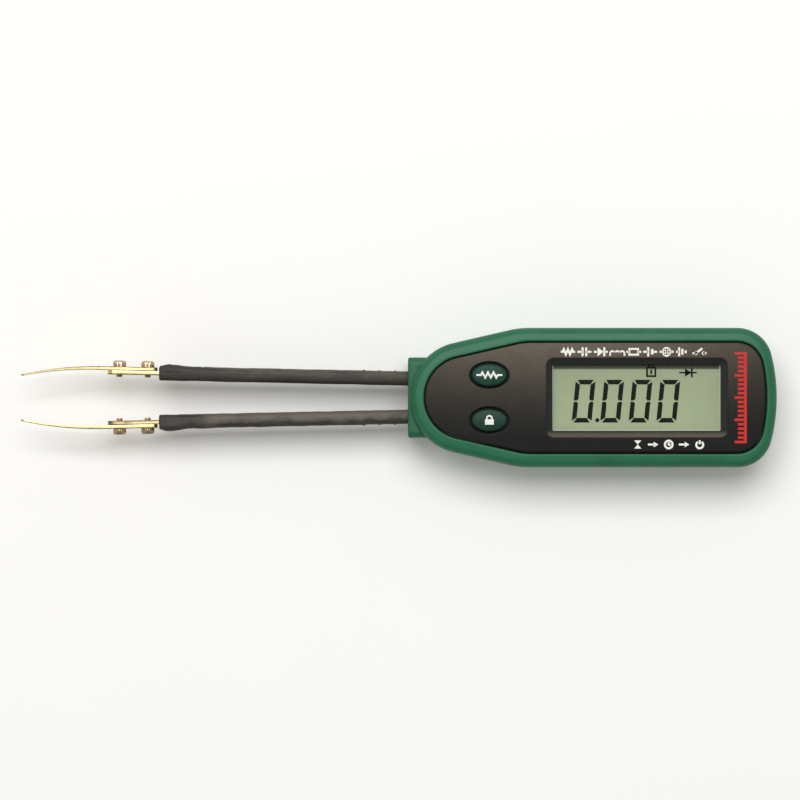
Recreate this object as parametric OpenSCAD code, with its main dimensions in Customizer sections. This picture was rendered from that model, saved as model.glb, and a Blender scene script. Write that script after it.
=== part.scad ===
// Tweezer-style component tester: a hand-held meter body with two sprung probe arms.
// It lies on its back: +Z comes out of the display, -X points along the tips,
// and the origin is in the middle of the length and width, at the back face.

/* [Body] */
// Width of the body
body_w = 33.4; // [33:0.02:37]
// Thickness of the body
body_h = 20; // [19.6:0.1:23]
// Wall of both case halves
case_wall = 2; // [1.7:0.1:2.2]
// Radius of the egg-shaped nose, seen from above
nose_r = 13.46; // [12.8:0.02:14.2]
// Distance that the collar stands in front of the nose
collar_out = 0.46; // [0.3:0.02:1.6]
// Angle of the taper behind the nose
taper = 12.9; // [11.5:0.1:13.5]
// Radius of the shoulder, where the taper meets the straight side
shoulder_r = 20; // [16:1:26]
// Radius of the bulging rear end
rear_r = 42; // [37:1:48]
// Radius of the rear corners
rear_corner_r = 8.4; // [7.6:0.2:10]
// Rounding of the rim's outer edge
rim_round = 2.4; // [1.6:0.1:2.6]
// Rounding of the back's edge
back_round = 3; // [2:0.1:3.4]

/* [Collar] */
// Width of the collar that the arms come out of
collar_w = 19.3; // [18.4:0.1:21]
// Height of the collar
collar_h = 14; // [13:0.1:14.6]
// Rounding of the collar's long edges
collar_round = 1.6; // [0.6:0.1:2]
// Rounding of the collar's front edge
collar_front_round = 0.8; // [0.3:0.1:0.8]

/* [Faceplate] */
// Width of the rim beside the faceplate
rim_side = 3.46; // [3.2:0.02:3.7]
// Width of the rim behind the faceplate
rim_rear = 2.7; // [2.5:0.02:3.2]
// Width of the rim in front of the faceplate
rim_nose = 3.5; // [3:0.02:3.8]
// Radius of the faceplate's nose
plate_nose_r = 9.8; // [9.4:0.1:10.4]
// Radius of the faceplate's rear corners
plate_corner_r = 6.3; // [5.4:0.1:7]
// Depth of the faceplate below the rim
plate_drop = 0.6; // [0.3:0.1:1]
// Thickness of the faceplate
plate_t = 1.6; // [1.4:0.1:1.8]
// Groove between the faceplate and the rim
plate_gap = 0.25; // [0.15:0.05:0.35]
// Reach of the faceplate's flange under the rim
flange_out = 0.5; // [0.4:0.05:0.6]
// Height of the faceplate's flange
flange_h = 1; // [0.8:0.1:1.2]
// Wall of the faceplate's flange
flange_wall = 1.5; // [1.2:0.1:2]

/* [Display] */
// Length of the display opening
view_l = 40.3; // [38:0.1:41]
// Width of the display opening
view_w = 15.9; // [14:0.1:16.4]
// Distance from the buttons to the middle of the display
button_to_view = 35.3; // [33:0.1:40]
// Distance from the display opening to the rear end
view_to_rear = 13.4; // [12.6:0.1:18]
// Depth of the sunk frame round the display
bezel_depth = 1.8; // [1.4:0.1:2]
// Run of the frame's sloping sides
bezel_run = 1.65; // [1.2:0.05:1.8]
// Corner radius of the sunk frame
bezel_corner = 2; // [1.8:0.1:2.4]
// Thickness of the frame's floor
bezel_floor_t = 0.6; // [0.5:0.1:0.8]
// Wall round the sunk frame, below the faceplate
bezel_wall = 1.2; // [1:0.1:1.4]
// Thickness of the clear window
window_t = 0.8; // [0.6:0.1:1]
// Overlap of the window behind the frame
window_lap = 1; // [0.8:0.1:1.4]
// Thickness of the display glass
glass_t = 1.9; // [1.6:0.1:2.2]
// Overlap of the display glass beyond the opening
glass_lap = 2; // [1.8:0.1:2.2]
// Wall of the frame that holds the display glass
holder_wall = 1.1; // [0.9:0.1:1.2]
// Height of the rubber contact strips under the glass
contact_h = 3.2; // [2.8:0.1:3.4]
// Width of the rubber contact strips
contact_w = 1.8; // [1.4:0.1:2]

/* [Buttons] */
// Length of a button cap
cap_l = 8.6; // [8:0.1:9.2]
// Width of a button cap
cap_w = 5.5; // [5:0.1:6]
// Distance between the two buttons, centre to centre
button_pitch = 10.8; // [10:0.1:11.4]
// Distance from the collar's front face to the buttons
button_at = 19.4; // [19:0.1:20]
// Gap round a button cap in its hole
cap_gap = 0.5; // [0.3:0.05:0.6]
// Height of a button cap above the faceplate
cap_rise = 0.9; // [0.6:0.1:1.4]
// Travel of a button
cap_travel = 0.5; // [0.4:0.05:0.6]
// Reach of a cap's retaining flange
cap_flange = 0.9; // [0.8:0.05:1]
// Height of a cap's retaining flange
cap_flange_h = 0.8; // [0.6:0.1:1]
// Rounding of a cap's upper edge
cap_round = 0.7; // [0.4:0.1:1]
// Play between a cap's flange and the faceplate
cap_play = 0.3; // [0.2:0.05:0.4]
// Side of a push switch
switch_side = 6; // [5.6:0.1:6.2]
// Height of a push switch's housing
switch_h = 3.5; // [3.1:0.1:3.6]
// Diameter of a push switch's plunger
plunger_d = 3.2; // [2.8:0.1:3.6]
// Floor of a push switch, under its plunger
switch_floor = 1.4; // [1:0.1:1.5]

/* [Arms] */
// Reach of the tips in front of the collar
arm_reach = 93.4; // [88:0.1:98]
// Reach of the sleeves in front of the collar
sleeve_reach = 59.9; // [56:0.1:61]
// Reach of the spring strips in front of the collar
strip_reach = 72.3; // [70:0.1:72.6]
// Distance between the arms' middles where they are held
root_pitch = 9; // [8.8:0.1:9.2]
// Angle by which each arm spreads outwards
splay = 1.2; // [1:0.1:1.4]
// Depth behind the collar's face at which an arm starts to bend
bend_at = 5; // [4.8:0.1:5.4]
// Thickness of a sleeve
sleeve_t = 3.42; // [3.1:0.02:3.5]
// Height of a sleeve at the collar
sleeve_root_h = 8.4; // [8:0.1:8.8]
// Height of a sleeve at its mouth
sleeve_mouth_h = 7.4; // [7:0.1:8]
// Rounding of a sleeve's edges
sleeve_round = 1.3; // [0.9:0.1:1.4]
// Thickness of a spring strip
strip_t = 1; // [0.8:0.05:1.1]
// Height of a spring strip inside its sleeve
strip_h = 6.2; // [5.8:0.1:6.4]
// Height of a spring strip in front of its sleeve
strip_tip_h = 4.6; // [4.4:0.1:5]
// Clearance of a strip inside its sleeve
strip_fit = 0.04; // [0.02:0.01:0.08]
// Clearance of a sleeve in the collar
arm_clear = 0.35; // [0.32:0.01:0.45]

/* [Tips] */
// Thickness of a tip blade where it is screwed on
blade_t = 0.9; // [0.7:0.05:1]
// Thickness of a tip blade at its point
point_t = 0.36; // [0.3:0.02:0.5]
// Height of a tip blade at its point
point_h = 0.7; // [0.5:0.05:1]
// Gap between a tip blade and the sleeve's mouth
blade_gap = 0.6; // [0.4:0.1:0.8]
// Length of the curved end of a tip
curve_len = 18.8; // [17:0.1:20]
// Radius of the curved end of a tip
curve_r = 85; // [80:1:95]
// Distance from the sleeve's mouth to the first tip screw
tip_screw_at = 2.9; // [2.4:0.1:3]
// Distance between the two tip screws of an arm
tip_screw_pitch = 6.8; // [6:0.1:7]
// Diameter of a tip screw's thread
tip_thread_d = 1.6; // [1.4:0.1:1.8]
// Diameter of a tip screw's head
tip_head_d = 3.2; // [2.8:0.1:3.4]
// Height of a tip screw's head
tip_head_h = 1.5; // [1.1:0.1:1.5]
// Length of thread that shows inside an arm
tip_thread_out = 0.6; // [0.4:0.1:0.9]

/* [Arm block] */
// Length of the block that holds the arms
block_len = 7.4; // [7:0.1:7.8]
// Distance from the bending point to the block
block_at = 1.5; // [1.3:0.1:1.7]
// Height of the block above the floor of the case
block_h = 13; // [12:0.1:13.4]
// Thickness of a terminal plate
terminal_t = 1.2; // [1:0.1:1.4]
// Room on each side of a strip in the block, for its bend
strip_room = 0.45; // [0.42:0.01:0.5]
// Diameter of the terminal screws' thread
terminal_screw_d = 2; // [1.8:0.1:2.2]
// Diameter of the pegs that locate the block
peg_d = 2; // [1.6:0.1:2.4]
// Height of the pegs that locate the block
peg_h = 3; // [2:0.1:4]
// Height that a terminal plate stands past the strip, above and below
terminal_rise = 0.6; // [0.4:0.1:0.8]
// Length of a terminal plate behind the block
terminal_over = 0.4; // [0.3:0.05:0.5]
// Diameter of a terminal screw's head
terminal_head_d = 3.6; // [3.2:0.1:4]
// Height of a terminal screw's head
terminal_head_h = 1.2; // [1:0.1:1.3]
// Depth of a terminal screw in the block
terminal_bite = 2; // [1.6:0.1:2.2]
// Diameter of the leads
lead_d = 1; // [0.8:0.1:1.1]

/* [Board] */
// Thickness of the circuit board
board_t = 1.2; // [1:0.1:1.6]
// Gap between the circuit board and the case wall
board_gap = 1.2; // [0.8:0.1:1.6]
// Diameter of the board screws' thread
board_screw_d = 1.8; // [1.6:0.1:2]
// Wall of the posts that the board is screwed to
board_post_wall = 1.1; // [0.9:0.1:1.2]
// Diameter of the board screws' heads
board_head_d = 3.4; // [3.2:0.1:3.6]
// Height of the board screws' heads
board_head_h = 1; // [0.8:0.1:1.2]
// Gap between the display's holder and what stands beside it
holder_gap = 1; // [0.8:0.1:1.2]
// Length of a small part on the board
part_l = 2; // [1.6:0.1:2.4]
// Width of a small part on the board
part_w = 1.2; // [0.8:0.1:1.4]
// Height of a small part on the board
part_h = 0.6; // [0.4:0.05:0.8]
// Gap between the main chip's body and the board
chip_lift = 0.15; // [0.1:0.05:0.3]
// Distance from the display opening's front end to the main chip
chip_margin = 2; // [1:0.1:4]
// Width of a leg of the main chip
leg_w = 0.4; // [0.3:0.05:0.5]
// Reach of a leg of the main chip
leg_out = 1.1; // [0.9:0.1:1.4]
// Side of the main chip
chip_side = 10; // [8:0.5:11]
// Height of the main chip
chip_h = 1.6; // [1.2:0.1:2]

/* [Case screws] */
// Diameter of the case screws' thread
case_screw_d = 2.2; // [2:0.1:2.4]
// Diameter of the case screws' heads
case_head_d = 3.8; // [3.5:0.1:4]
// Height of the case screws' heads
case_head_h = 1.4; // [1.2:0.1:1.6]
// Length that a case screw's hole is deeper than its thread
case_hole_spare = 1; // [0.8:0.1:1.2]
// Outer radius of the case screw posts
post_r = 2.7; // [2.6:0.1:2.9]
// Depth of a case screw's head in the back
case_head_sink = 3.4; // [3:0.1:3.8]
// Clearance of a screw in the hole that it cuts
thread_fit = 0.03; // [0.02:0.01:0.06]
// Clearance of a screw in a plain hole
hole_fit = 0.2; // [0.15:0.05:0.3]

/* [Battery] */
// Diameter of the coin cell
cell_d = 20; // [19.6:0.1:20.4]
// Thickness of the coin cell
cell_t = 3.2; // [2.5:0.1:3.4]
// Distance from the rear end to the middle of the coin cell
cell_from_rear = 28; // [27:0.5:30]
// Clearance round the coin cell
cell_fit = 0.3; // [0.2:0.05:0.4]
// Height of the step round the coin cell's upper face
cell_step = 0.3; // [0.2:0.05:0.4]
// Width of the step round the coin cell's upper face
cell_edge = 1.2; // [1:0.1:1.4]
// Wall of the coin cell's cup
cup_wall = 1.2; // [1:0.1:1.5]
// Length of the battery cover
cover_l = 31; // [30:0.1:32]
// Width of the battery cover
cover_w = 23.4; // [23:0.1:24]
// Thickness of the battery cover
cover_t = 1.2; // [1:0.1:1.3]
// Gap round the battery cover
cover_gap = 0.15; // [0.1:0.05:0.25]
// Corner radius of the battery cover
cover_corner = 2.5; // [2:0.1:3]
// Diameter of the battery cover screw's thread
cover_screw_d = 1.8; // [1.6:0.1:2]
// Diameter of the battery cover screw's head
cover_head_d = 3.2; // [3:0.1:3.4]
// Height of the battery cover screw's head
cover_head_h = 0.5; // [0.4:0.05:0.6]
// Distance of the battery cover screw from the cover's front edge
cover_screw_in = 3; // [2.6:0.1:3.4]
// Distance that the battery cover's middle lies in front of the cell's
cover_shift = 1.6; // [1.4:0.1:1.8]
// Width of a finger groove in the battery cover
groove_w = 0.7; // [0.5:0.05:0.8]
// Depth of a finger groove
groove_depth = 0.35; // [0.2:0.05:0.45]
// Distance between the finger grooves
groove_pitch = 1.6; // [1.4:0.1:1.8]
// Length of the contact springs' feet
spring_foot = 3; // [2.5:0.1:3.4]
// Thickness of the contact springs
spring_t = 0.3; // [0.25:0.05:0.4]
// Width of the contact springs
spring_w = 4; // [3:0.1:5]

/* [Label] */
// Length of the bare label on the back
label_l = 27; // [22:0.5:28]
// Width of the bare label on the back
label_w = 17; // [14:0.5:18]
// Corner radius of the label
label_corner = 1; // [0.5:0.1:2]
// Thickness of the label
label_t = 0.3; // [0.2:0.05:0.4]

/* [Hidden] */

RIGHT = 1;
LEFT = -1;
ROUND = 48;
FILLET_STEPS = 5;
// Overshoot of a cut beyond the faces that it opens
eps = 0.1;
// Smallest step that keeps a piece off the surface that it lies near
hair = 0.05;
// Room left under a cap, and under its plunger, at full travel
press_room = 0.2;
// Length that a strip stops short of the block's end
strip_short = 1;
// Distance from the bending point to the end of a sleeve
sleeve_stop = 0.6;
// Material left at the closed end of a screw hole in the faceplate
hole_skin = 0.6;
// Clearance of the circuit board's edge round a post
board_edge = 0.4;
// Distance of the rubber contact strips from the edges of the glass
contact_in = 0.4;
// Angle round the rear corner at which the rear posts stand
post_turn = 20;
// Bite of a post or rib into the wall that carries it
bite = 0.3;

// Lengthwise places
body_len = button_at + button_to_view + view_l / 2 + view_to_rear;
half_len = (arm_reach + body_len) / 2;
collar_x = half_len - body_len;
nose_x = collar_x + collar_out;
rear_x = half_len;
bend_x = collar_x + bend_at;
button_x = collar_x + button_at;
view_x = button_x + button_to_view;
cell_x = rear_x - cell_from_rear;
block_x = bend_x + block_at;
block_end_x = block_x + block_len;

// Heights
seam_z = body_h / 2;
arm_z = seam_z;
plate_top = body_h - plate_drop;
plate_low = plate_top - plate_t;
flange_low = plate_low - flange_h;
bezel_z = plate_top - bezel_depth;
window_top = bezel_z - bezel_floor_t;
glass_top = window_top - window_t - hair;
glass_low = glass_top - glass_t;
board_top = glass_low - contact_h;
board_low = board_top - board_t;
switch_top = board_top + switch_h;
cap_low = switch_top + cap_travel + press_room;
cap_top = plate_top + cap_rise;
cell_low = cover_t + 2 * hair;
cell_top = cell_low + cell_t;

// Arms
root_y = root_pitch / 2;
blade_y = strip_t / 2 + blade_t / 2;
curve_angle = asin(curve_len / curve_r);
curve_drop = curve_r * (1 - cos(curve_angle));
point_y = blade_y - curve_drop;
point_x = -(arm_reach + bend_at + point_y * sin(splay)) / cos(splay);
mouth_x = -(sleeve_reach + bend_at);
strip_end_x = -(strip_reach + bend_at);
strip_root_x = block_at + block_len - strip_short;
sleeve_root_x = -sleeve_stop;
tip_screw_x = [for (i = [0, 1]) mouth_x - tip_screw_at - i * tip_screw_pitch];

// Posts and screws
holder_half_l = view_l / 2 + glass_lap + hair + holder_wall;
front_post_x = view_x - holder_half_l - holder_gap - post_r;
front_post_y = side_y(front_post_x) - case_wall - post_r + bite;
corner_c = rear_corner_centre(body_w / 2, rear_x, rear_r, rear_corner_r);
post_reach = rear_corner_r - case_wall - post_r + bite;
post_places = [
    for (side = [LEFT, RIGHT]) [front_post_x, side * front_post_y],
    for (side = [LEFT, RIGHT]) [
        corner_c.x + post_reach * cos(post_turn), side * (corner_c.y + post_reach * sin(post_turn))
    ]
];
board_post_r = board_screw_d / 2 + board_post_wall;
board_screw_places = [[view_x - holder_half_l - holder_gap - board_post_r, 0], [post_places[2].x, 0]];
cover_x = cell_x - cover_shift;
cover_screw_x = cover_x - cover_l / 2 + cover_screw_in;
label_x = front_post_x;
bezel_inner_r = bezel_corner - bezel_run;

// ---------- outlines ----------

// Part of a circle, each entry a point with its outward normal
function arc(c, r, a0, a1, n, first = 0, last = 0) = [
    for (i = [first : n - last]) let (a = a0 + (a1 - a0) * i / n, d = [cos(a), sin(a)]) [c + r * d, d]
];

// Centre of the corner arc that touches the straight side and the bulging end
function rear_corner_centre(half, rear, bulge_r, corner_r) =
    let (cy = half - corner_r)
    [rear - bulge_r + sqrt(pow(bulge_r - corner_r, 2) - cy * cy), cy];

// Where the shoulder's arc meets the straight side, with the taper touching both arcs
function shoulder_x(front, front_r, half, lean, turn_r) =
    front + front_r + (half * cos(lean) - front_r + turn_r * (1 - cos(lean))) / sin(lean);

// Half width of the body at a place between the taper and the rear corners
function side_y(x) =
    let (
        turn_x = shoulder_x(nose_x, nose_r, body_w / 2, taper, shoulder_r),
        back = max(turn_x - x, 0),
        turn_len = shoulder_r * sin(taper)
    )
    back < turn_len
        ? body_w / 2 - shoulder_r + sqrt(shoulder_r * shoulder_r - back * back)
        : body_w / 2 - shoulder_r * (1 - cos(taper)) - (back - turn_len) * tan(taper);

// The body's outline: bulging end, rear corners, straight sides, shoulders, taper and round nose
function pod(front, front_r, half, lean, turn_r, rear, bulge_r, corner_r) =
    let (
        nose_c = front + front_r,
        turn_x = shoulder_x(front, front_r, half, lean, turn_r),
        c = rear_corner_centre(half, rear, bulge_r, corner_r),
        ca = asin(c.y / (bulge_r - corner_r))
    )
    concat(
        arc([rear - bulge_r, 0], bulge_r, -ca, ca, 8),
        arc(c, corner_r, ca, 90, 6, first = 1),
        arc([turn_x, half - turn_r], turn_r, 90, 90 + lean, 4),
        arc([nose_c, 0], front_r, 90 + lean, 270 - lean, 22, first = 1),
        arc([turn_x, turn_r - half], turn_r, 270 - lean, 270, 4, first = 1),
        arc([c.x, -c.y], corner_r, 270, 360 - ca, 6, last = 1)
    );

// Rounded rectangle
function rrect(l, w, r, n = 4) = [
    for (k = [0 : 3])
        let (sx = (k == 0 || k == 3) ? 1 : -1, sy = k < 2 ? 1 : -1)
        each arc([sx * (l / 2 - r), sy * (w / 2 - r)], r, k * 90, k * 90 + 90, n)
];

// Ellipse
function oval(l, w, n = 40) = [
    for (i = [0 : n - 1])
        let (a = i * 360 / n, d = [w * cos(a), l * sin(a)])
        [[l / 2 * cos(a), w / 2 * sin(a)], d / norm(d)]
];

function inset(outline, d) = [for (p = outline) p[0] - d * p[1]];
function at_z(points, z) = [for (p = points) [p.x, p.y, z]];

// Rings that round an edge: from the flat face (rising) or towards it
function edge_up(outline, z, r, n = FILLET_STEPS) = [
    for (i = [0 : n]) let (t = 90 * i / n) at_z(inset(outline, r * (1 - sin(t))), z + r * (1 - cos(t)))
];
function edge_down(outline, z, r, n = FILLET_STEPS) = [
    for (i = [n : -1 : 0]) let (t = 90 * i / n) at_z(inset(outline, r * (1 - sin(t))), z - r * (1 - cos(t)))
];

body_outline = pod(nose_x, nose_r, body_w / 2, taper, shoulder_r, rear_x, rear_r, rear_corner_r);
plate_outline = pod(
    nose_x + rim_nose, plate_nose_r, body_w / 2 - rim_side, taper,
    shoulder_r - rim_side, rear_x - rim_rear, rear_r - rim_rear, plate_corner_r
);

// ---------- shared shapes ----------

// Closed skin over a stack of rings with the same number of points
module skin(rings) {
    n = len(rings[0]);
    m = len(rings);
    polyhedron(
        points = [for (r = rings) each r],
        faces = concat(
            [[for (i = [0 : n - 1]) i]],
            [
                for (k = [0 : m - 2], i = [0 : n - 1])
                    let (a = k * n + i, b = k * n + (i + 1) % n)
                    each [[a, a + n, b + n], [a, b + n, b]]
            ],
            [[for (i = [n - 1 : -1 : 0]) (m - 1) * n + i]]
        )
    );
}

// Upright prism on a list of points, between two heights
module prism(points, z0, z1) {
    translate([0, 0, z0]) linear_extrude(z1 - z0) polygon(points);
}

// The points of an outline, grown by a clearance and moved along the body
function placed(outline, place, grow = 0) = [for (p = inset(outline, -grow)) p + place];

// Box between two heights, centred on a place in plan
module bar(place, l, w, z0, z1) {
    translate([place.x - l / 2, place.y - w / 2, z0]) cube([l, w, z1 - z0]);
}

module rod(place, d, z0, z1) {
    translate([place.x, place.y, z0]) cylinder(d = d, h = z1 - z0, $fn = ROUND);
}

// Screw with its seat at the origin and its thread up +Z; the head lies below
module screw(thread_d, thread_l, head_d, head_h) {
    slot = head_d * 0.16;
    difference() {
        union() {
            cylinder(d = thread_d, h = thread_l, $fn = ROUND);
            rotate_extrude($fn = ROUND) polygon([
                [0, 0], [head_d / 2, 0], [head_d / 2, -head_h * 0.55],
                [head_d * 0.42, -head_h * 0.85], [head_d * 0.28, -head_h], [0, -head_h]
            ]);
        }
        for (turn = [0, 90]) rotate(turn)
            translate([-head_d * 0.3, -slot / 2, -head_h - eps])
                cube([head_d * 0.6, slot, head_h * 0.5 + eps]);
    }
}

// Frame of an arm: its bending point at the origin, tips along -X, outside along +Y
module arm_frame(side) {
    translate([bend_x, side * root_y, arm_z]) rotate(-side * splay)
        if (side > 0) children(); else mirror([0, 1, 0]) children();
}

// ---------- case ----------

module shell_outside() {
    skin(concat(edge_up(body_outline, 0, back_round), edge_down(body_outline, body_h, rim_round)));
    collar = rrect(collar_h, collar_w, collar_round);
    collar_depth = collar_out + nose_r / 2;
    translate([collar_x + collar_depth, 0, seam_z]) rotate([0, -90, 0])
        skin(concat([at_z(inset(collar, 0), 0)], edge_down(collar, collar_depth, collar_front_round)));
}

// The holes that the sleeves come out through
module arm_holes() {
    hole = rrect(sleeve_root_h + 2 * arm_clear, sleeve_t + 2 * arm_clear, sleeve_round + arm_clear);
    for (side = [LEFT, RIGHT]) arm_frame(side) rotate([0, -90, 0])
        prism(inset(hole, 0), -bend_at, bend_at + collar_out);
}

module case_cavity(z0, z1) {
    prism(inset(body_outline, case_wall), z0, z1);
}

module half_space(z0, z1) {
    translate([collar_x - body_w, -body_w, z0]) cube([body_len + 2 * body_w, 2 * body_w, z1 - z0]);
}

case_hole_top = flange_low - 1;
module top_case() color("seagreen") difference() {
    union() {
        difference() {
            intersection() {
                shell_outside();
                half_space(seam_z, body_h + eps);
            }
            case_cavity(seam_z - eps, plate_low);
            prism(inset(plate_outline, -plate_gap), plate_low - eps, body_h + eps);
            arm_holes();
        }
        for (p = post_places) rod(p, 2 * post_r, seam_z, flange_low - hair);
    }
    for (p = post_places) rod(p, case_screw_d + 2 * thread_fit, seam_z - eps, case_hole_top);
}

module cup_ring(d, z0, z1) {
    rod([cell_x, 0], d, z0, z1);
}

peg_places = [for (share = [0.25, 0.75]) block_x + block_len * share];
module bottom_case() color("seagreen") difference() {
    union() {
        difference() {
            intersection() {
                shell_outside();
                half_space(-eps, seam_z);
            }
            case_cavity(case_wall, seam_z + eps);
            arm_holes();
        }
        for (p = post_places) rod(p, 2 * post_r, case_wall - hair, seam_z);
        cup_ring(cell_d + 2 * (cell_fit + cup_wall), case_wall - hair, cell_top);
        rod([cover_screw_x, 0], cover_screw_d + 2 * cup_wall, case_wall - hair, cell_top);
        for (x = peg_places) rod([x, 0], peg_d, case_wall - hair, case_wall + peg_h);
    }
    for (p = post_places) {
        rod(p, case_head_d + 2 * hole_fit, -eps, case_head_sink);
        rod(p, case_screw_d + 2 * hole_fit, case_head_sink - eps, seam_z + eps);
    }
    prism(placed(rrect(cover_l, cover_w, cover_corner), [cover_x, 0], cover_gap), -eps, cover_t + hair);
    cup_ring(cell_d + 2 * cell_fit, -eps, cell_top + eps);
    rod([cover_screw_x, 0], cover_screw_d + 2 * thread_fit, -eps, cell_top - hole_skin);
    prism(placed(rrect(label_l, label_w, label_corner), [label_x, 0], cover_gap), -eps, label_t + hair);
    // Slot in the cup's wall for the side contact
    bar([cell_x + cell_d / 2 + cell_fit + cup_wall / 2, 0], cup_wall + 2 * cell_fit, spring_w + 2 * cell_fit,
        case_wall + cell_fit, cell_top + eps);
}

// ---------- faceplate and display ----------

// The display opening's outline, grown on all sides
function view_rect(grow) = placed(rrect(view_l, view_w, bezel_inner_r), [view_x, 0], grow);

module faceplate() color("dimgray") difference() {
    union() {
        prism(inset(plate_outline, 0), plate_low, plate_top);
        difference() {
            intersection() {
                prism(inset(plate_outline, -flange_out), flange_low, plate_low);
                prism(inset(body_outline, case_wall + 2 * hair), flange_low - eps, plate_low + eps);
            }
            prism(inset(plate_outline, flange_wall - flange_out), flange_low - eps, plate_low + eps);
            // The flange stops short of the nose, whose rim has no room above it
            translate([nose_x - eps, -body_w / 2, flange_low - eps])
                cube([nose_r, body_w, flange_h + eps]);
        }
        prism(view_rect(bezel_run + bezel_wall), window_top, plate_low + hair);
        for (p = board_screw_places) rod(p, 2 * board_post_r, board_top, plate_low + hair);
    }
    // Sloping sides of the sunk frame
    skin([
        at_z(view_rect(0), bezel_z),
        at_z(view_rect(bezel_run * (1 + hair / bezel_depth)), plate_top + hair)
    ]);
    prism(view_rect(0), window_top - eps, bezel_z + eps);
    for (p = board_screw_places)
        rod(p, board_screw_d + 2 * thread_fit, board_top - eps, plate_low - hole_skin);
    for (side = [LEFT, RIGHT])
        prism(placed(oval(cap_l, cap_w), button_place(side), cap_gap), plate_low - eps, plate_top + eps);
}

module display_window() color("white", 0.4)
    prism(view_rect(window_lap), window_top - window_t, window_top);

module display_glass() color("darkseagreen")
    bar([view_x, 0], view_l + 2 * glass_lap, view_w + 2 * glass_lap, glass_low, glass_top);

contact_y = view_w / 2 + glass_lap - contact_w / 2 - contact_in;
contact_l = view_l - contact_w;
module display_holder() color("gainsboro") difference() {
    grow = 2 * (glass_lap + hair);
    bar([view_x, 0], 2 * holder_half_l, view_w + grow + 2 * holder_wall, board_top, glass_top);
    bar([view_x, 0], view_l + grow, view_w + grow, glass_low, glass_top + eps);
    bar([view_x, 0], contact_l, view_w - 2 * contact_w, board_top - eps, glass_low + eps);
    for (side = [LEFT, RIGHT])
        bar([view_x, side * contact_y], contact_l + 2 * hair, contact_w + 2 * hair,
            board_top - eps, glass_low + eps);
}

module contact_strip(side) color("palevioletred")
    bar([view_x, side * contact_y], contact_l, contact_w, board_top, glass_low);

// ---------- buttons ----------

function button_place(side) = [button_x, side * button_pitch / 2];

module button(side) color("darkgreen") {
    cap = oval(cap_l, cap_w);
    translate(button_place(side))
        skin(concat([at_z(inset(cap, 0), cap_low)], edge_down(cap, cap_top, cap_round)));
    flange_top = plate_low - cap_play;
    prism(placed(cap, button_place(side), cap_flange), flange_top - cap_flange_h, flange_top);
}

plunger_hole_z = board_top + switch_floor;
module plunger(side) color("black")
    rod(button_place(side), plunger_d, plunger_hole_z + cap_travel + press_room, cap_low);

module push_switch(side) color("silver") difference() {
    bar(button_place(side), switch_side, switch_side, board_top, switch_top);
    rod(button_place(side), plunger_d + 2 * hole_fit, plunger_hole_z, switch_top + eps);
}

// ---------- board ----------

board_end_x = view_x + holder_half_l + holder_gap;
board_start_x = block_end_x + board_gap;
// The board's tab between the rear posts
board_tab_end_x = post_places[2].x + board_post_r + board_edge;
board_tab_half_w = post_places[3].y - post_r - board_edge;
module circuit_board() color("darkolivegreen") difference() {
    intersection() {
        prism(inset(body_outline, case_wall + board_gap), board_low, board_top);
        union() {
            translate([board_start_x, -body_w / 2, 0]) cube([board_end_x - board_start_x, body_w, body_h]);
            bar([board_end_x, 0], 2 * (board_tab_end_x - board_end_x), 2 * board_tab_half_w, 0, body_h);
        }
    }
    for (p = post_places) rod(p, 2 * (post_r + board_edge), board_low - eps, board_top + eps);
    for (p = board_screw_places) rod(p, board_screw_d + 2 * hole_fit, board_low - eps, board_top + eps);
}

chip_x = view_x - view_l / 2 + chip_side / 2 + chip_margin;
module main_chip() color("black") {
    bar([chip_x, 0], chip_side, chip_side, board_low - chip_h, board_low - chip_lift);
    // Legs on two sides
    for (side = [LEFT, RIGHT], i = [-4 : 4])
        bar([chip_x + i * chip_side / 10, side * (chip_side + leg_out) / 2], leg_w, leg_out,
            board_low - leg_w, board_low);
}

// Small parts soldered under the board, in a row on each side of the chip
module board_parts() color("tan")
    for (side = [LEFT, RIGHT], i = [-1.5 : 1.5])
        bar([chip_x + 2 * i * part_l, side * (chip_side / 2 + leg_out + 1.5 * part_w)], part_l, part_w,
            board_low - part_h, board_low);

// ---------- battery ----------

module coin_cell() color("lightgray") {
    rod([cell_x, 0], cell_d, cell_low, cell_top - cell_step);
    rod([cell_x, 0], cell_d - 2 * cell_edge, cell_top - cell_step, cell_top);
}

// Bent leaf from the board down to the cell's upper face
module battery_spring() color("gold") {
    foot_x = cell_x - cell_d / 4;
    path = [
        [foot_x - spring_foot, board_low], [foot_x, board_low], [foot_x + spring_t, board_low - spring_t],
        [cell_x, cell_top + spring_t], [cell_x + spring_foot, cell_top + spring_t],
        [cell_x + spring_foot, cell_top], [cell_x - spring_t, cell_top],
        [foot_x - spring_t, board_low - spring_t], [foot_x - spring_foot, board_low - spring_t]
    ];
    translate([0, spring_w / 2, 0]) rotate([90, 0, 0]) linear_extrude(spring_w) polygon(path);
}

// Upright leaf that touches the cell's rim, with a foot on the board
module battery_side_contact() color("gold") {
    leaf_x = cell_x + cell_d / 2 + hair;
    leaf_low = case_wall + 2 * cell_fit;
    translate([0, spring_w / 2, 0]) rotate([90, 0, 0]) linear_extrude(spring_w) polygon([
        [leaf_x, leaf_low], [leaf_x + spring_t, leaf_low], [leaf_x + spring_t, board_low - spring_t],
        [leaf_x + spring_foot, board_low - spring_t], [leaf_x + spring_foot, board_low], [leaf_x, board_low]
    ]);
}

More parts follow.
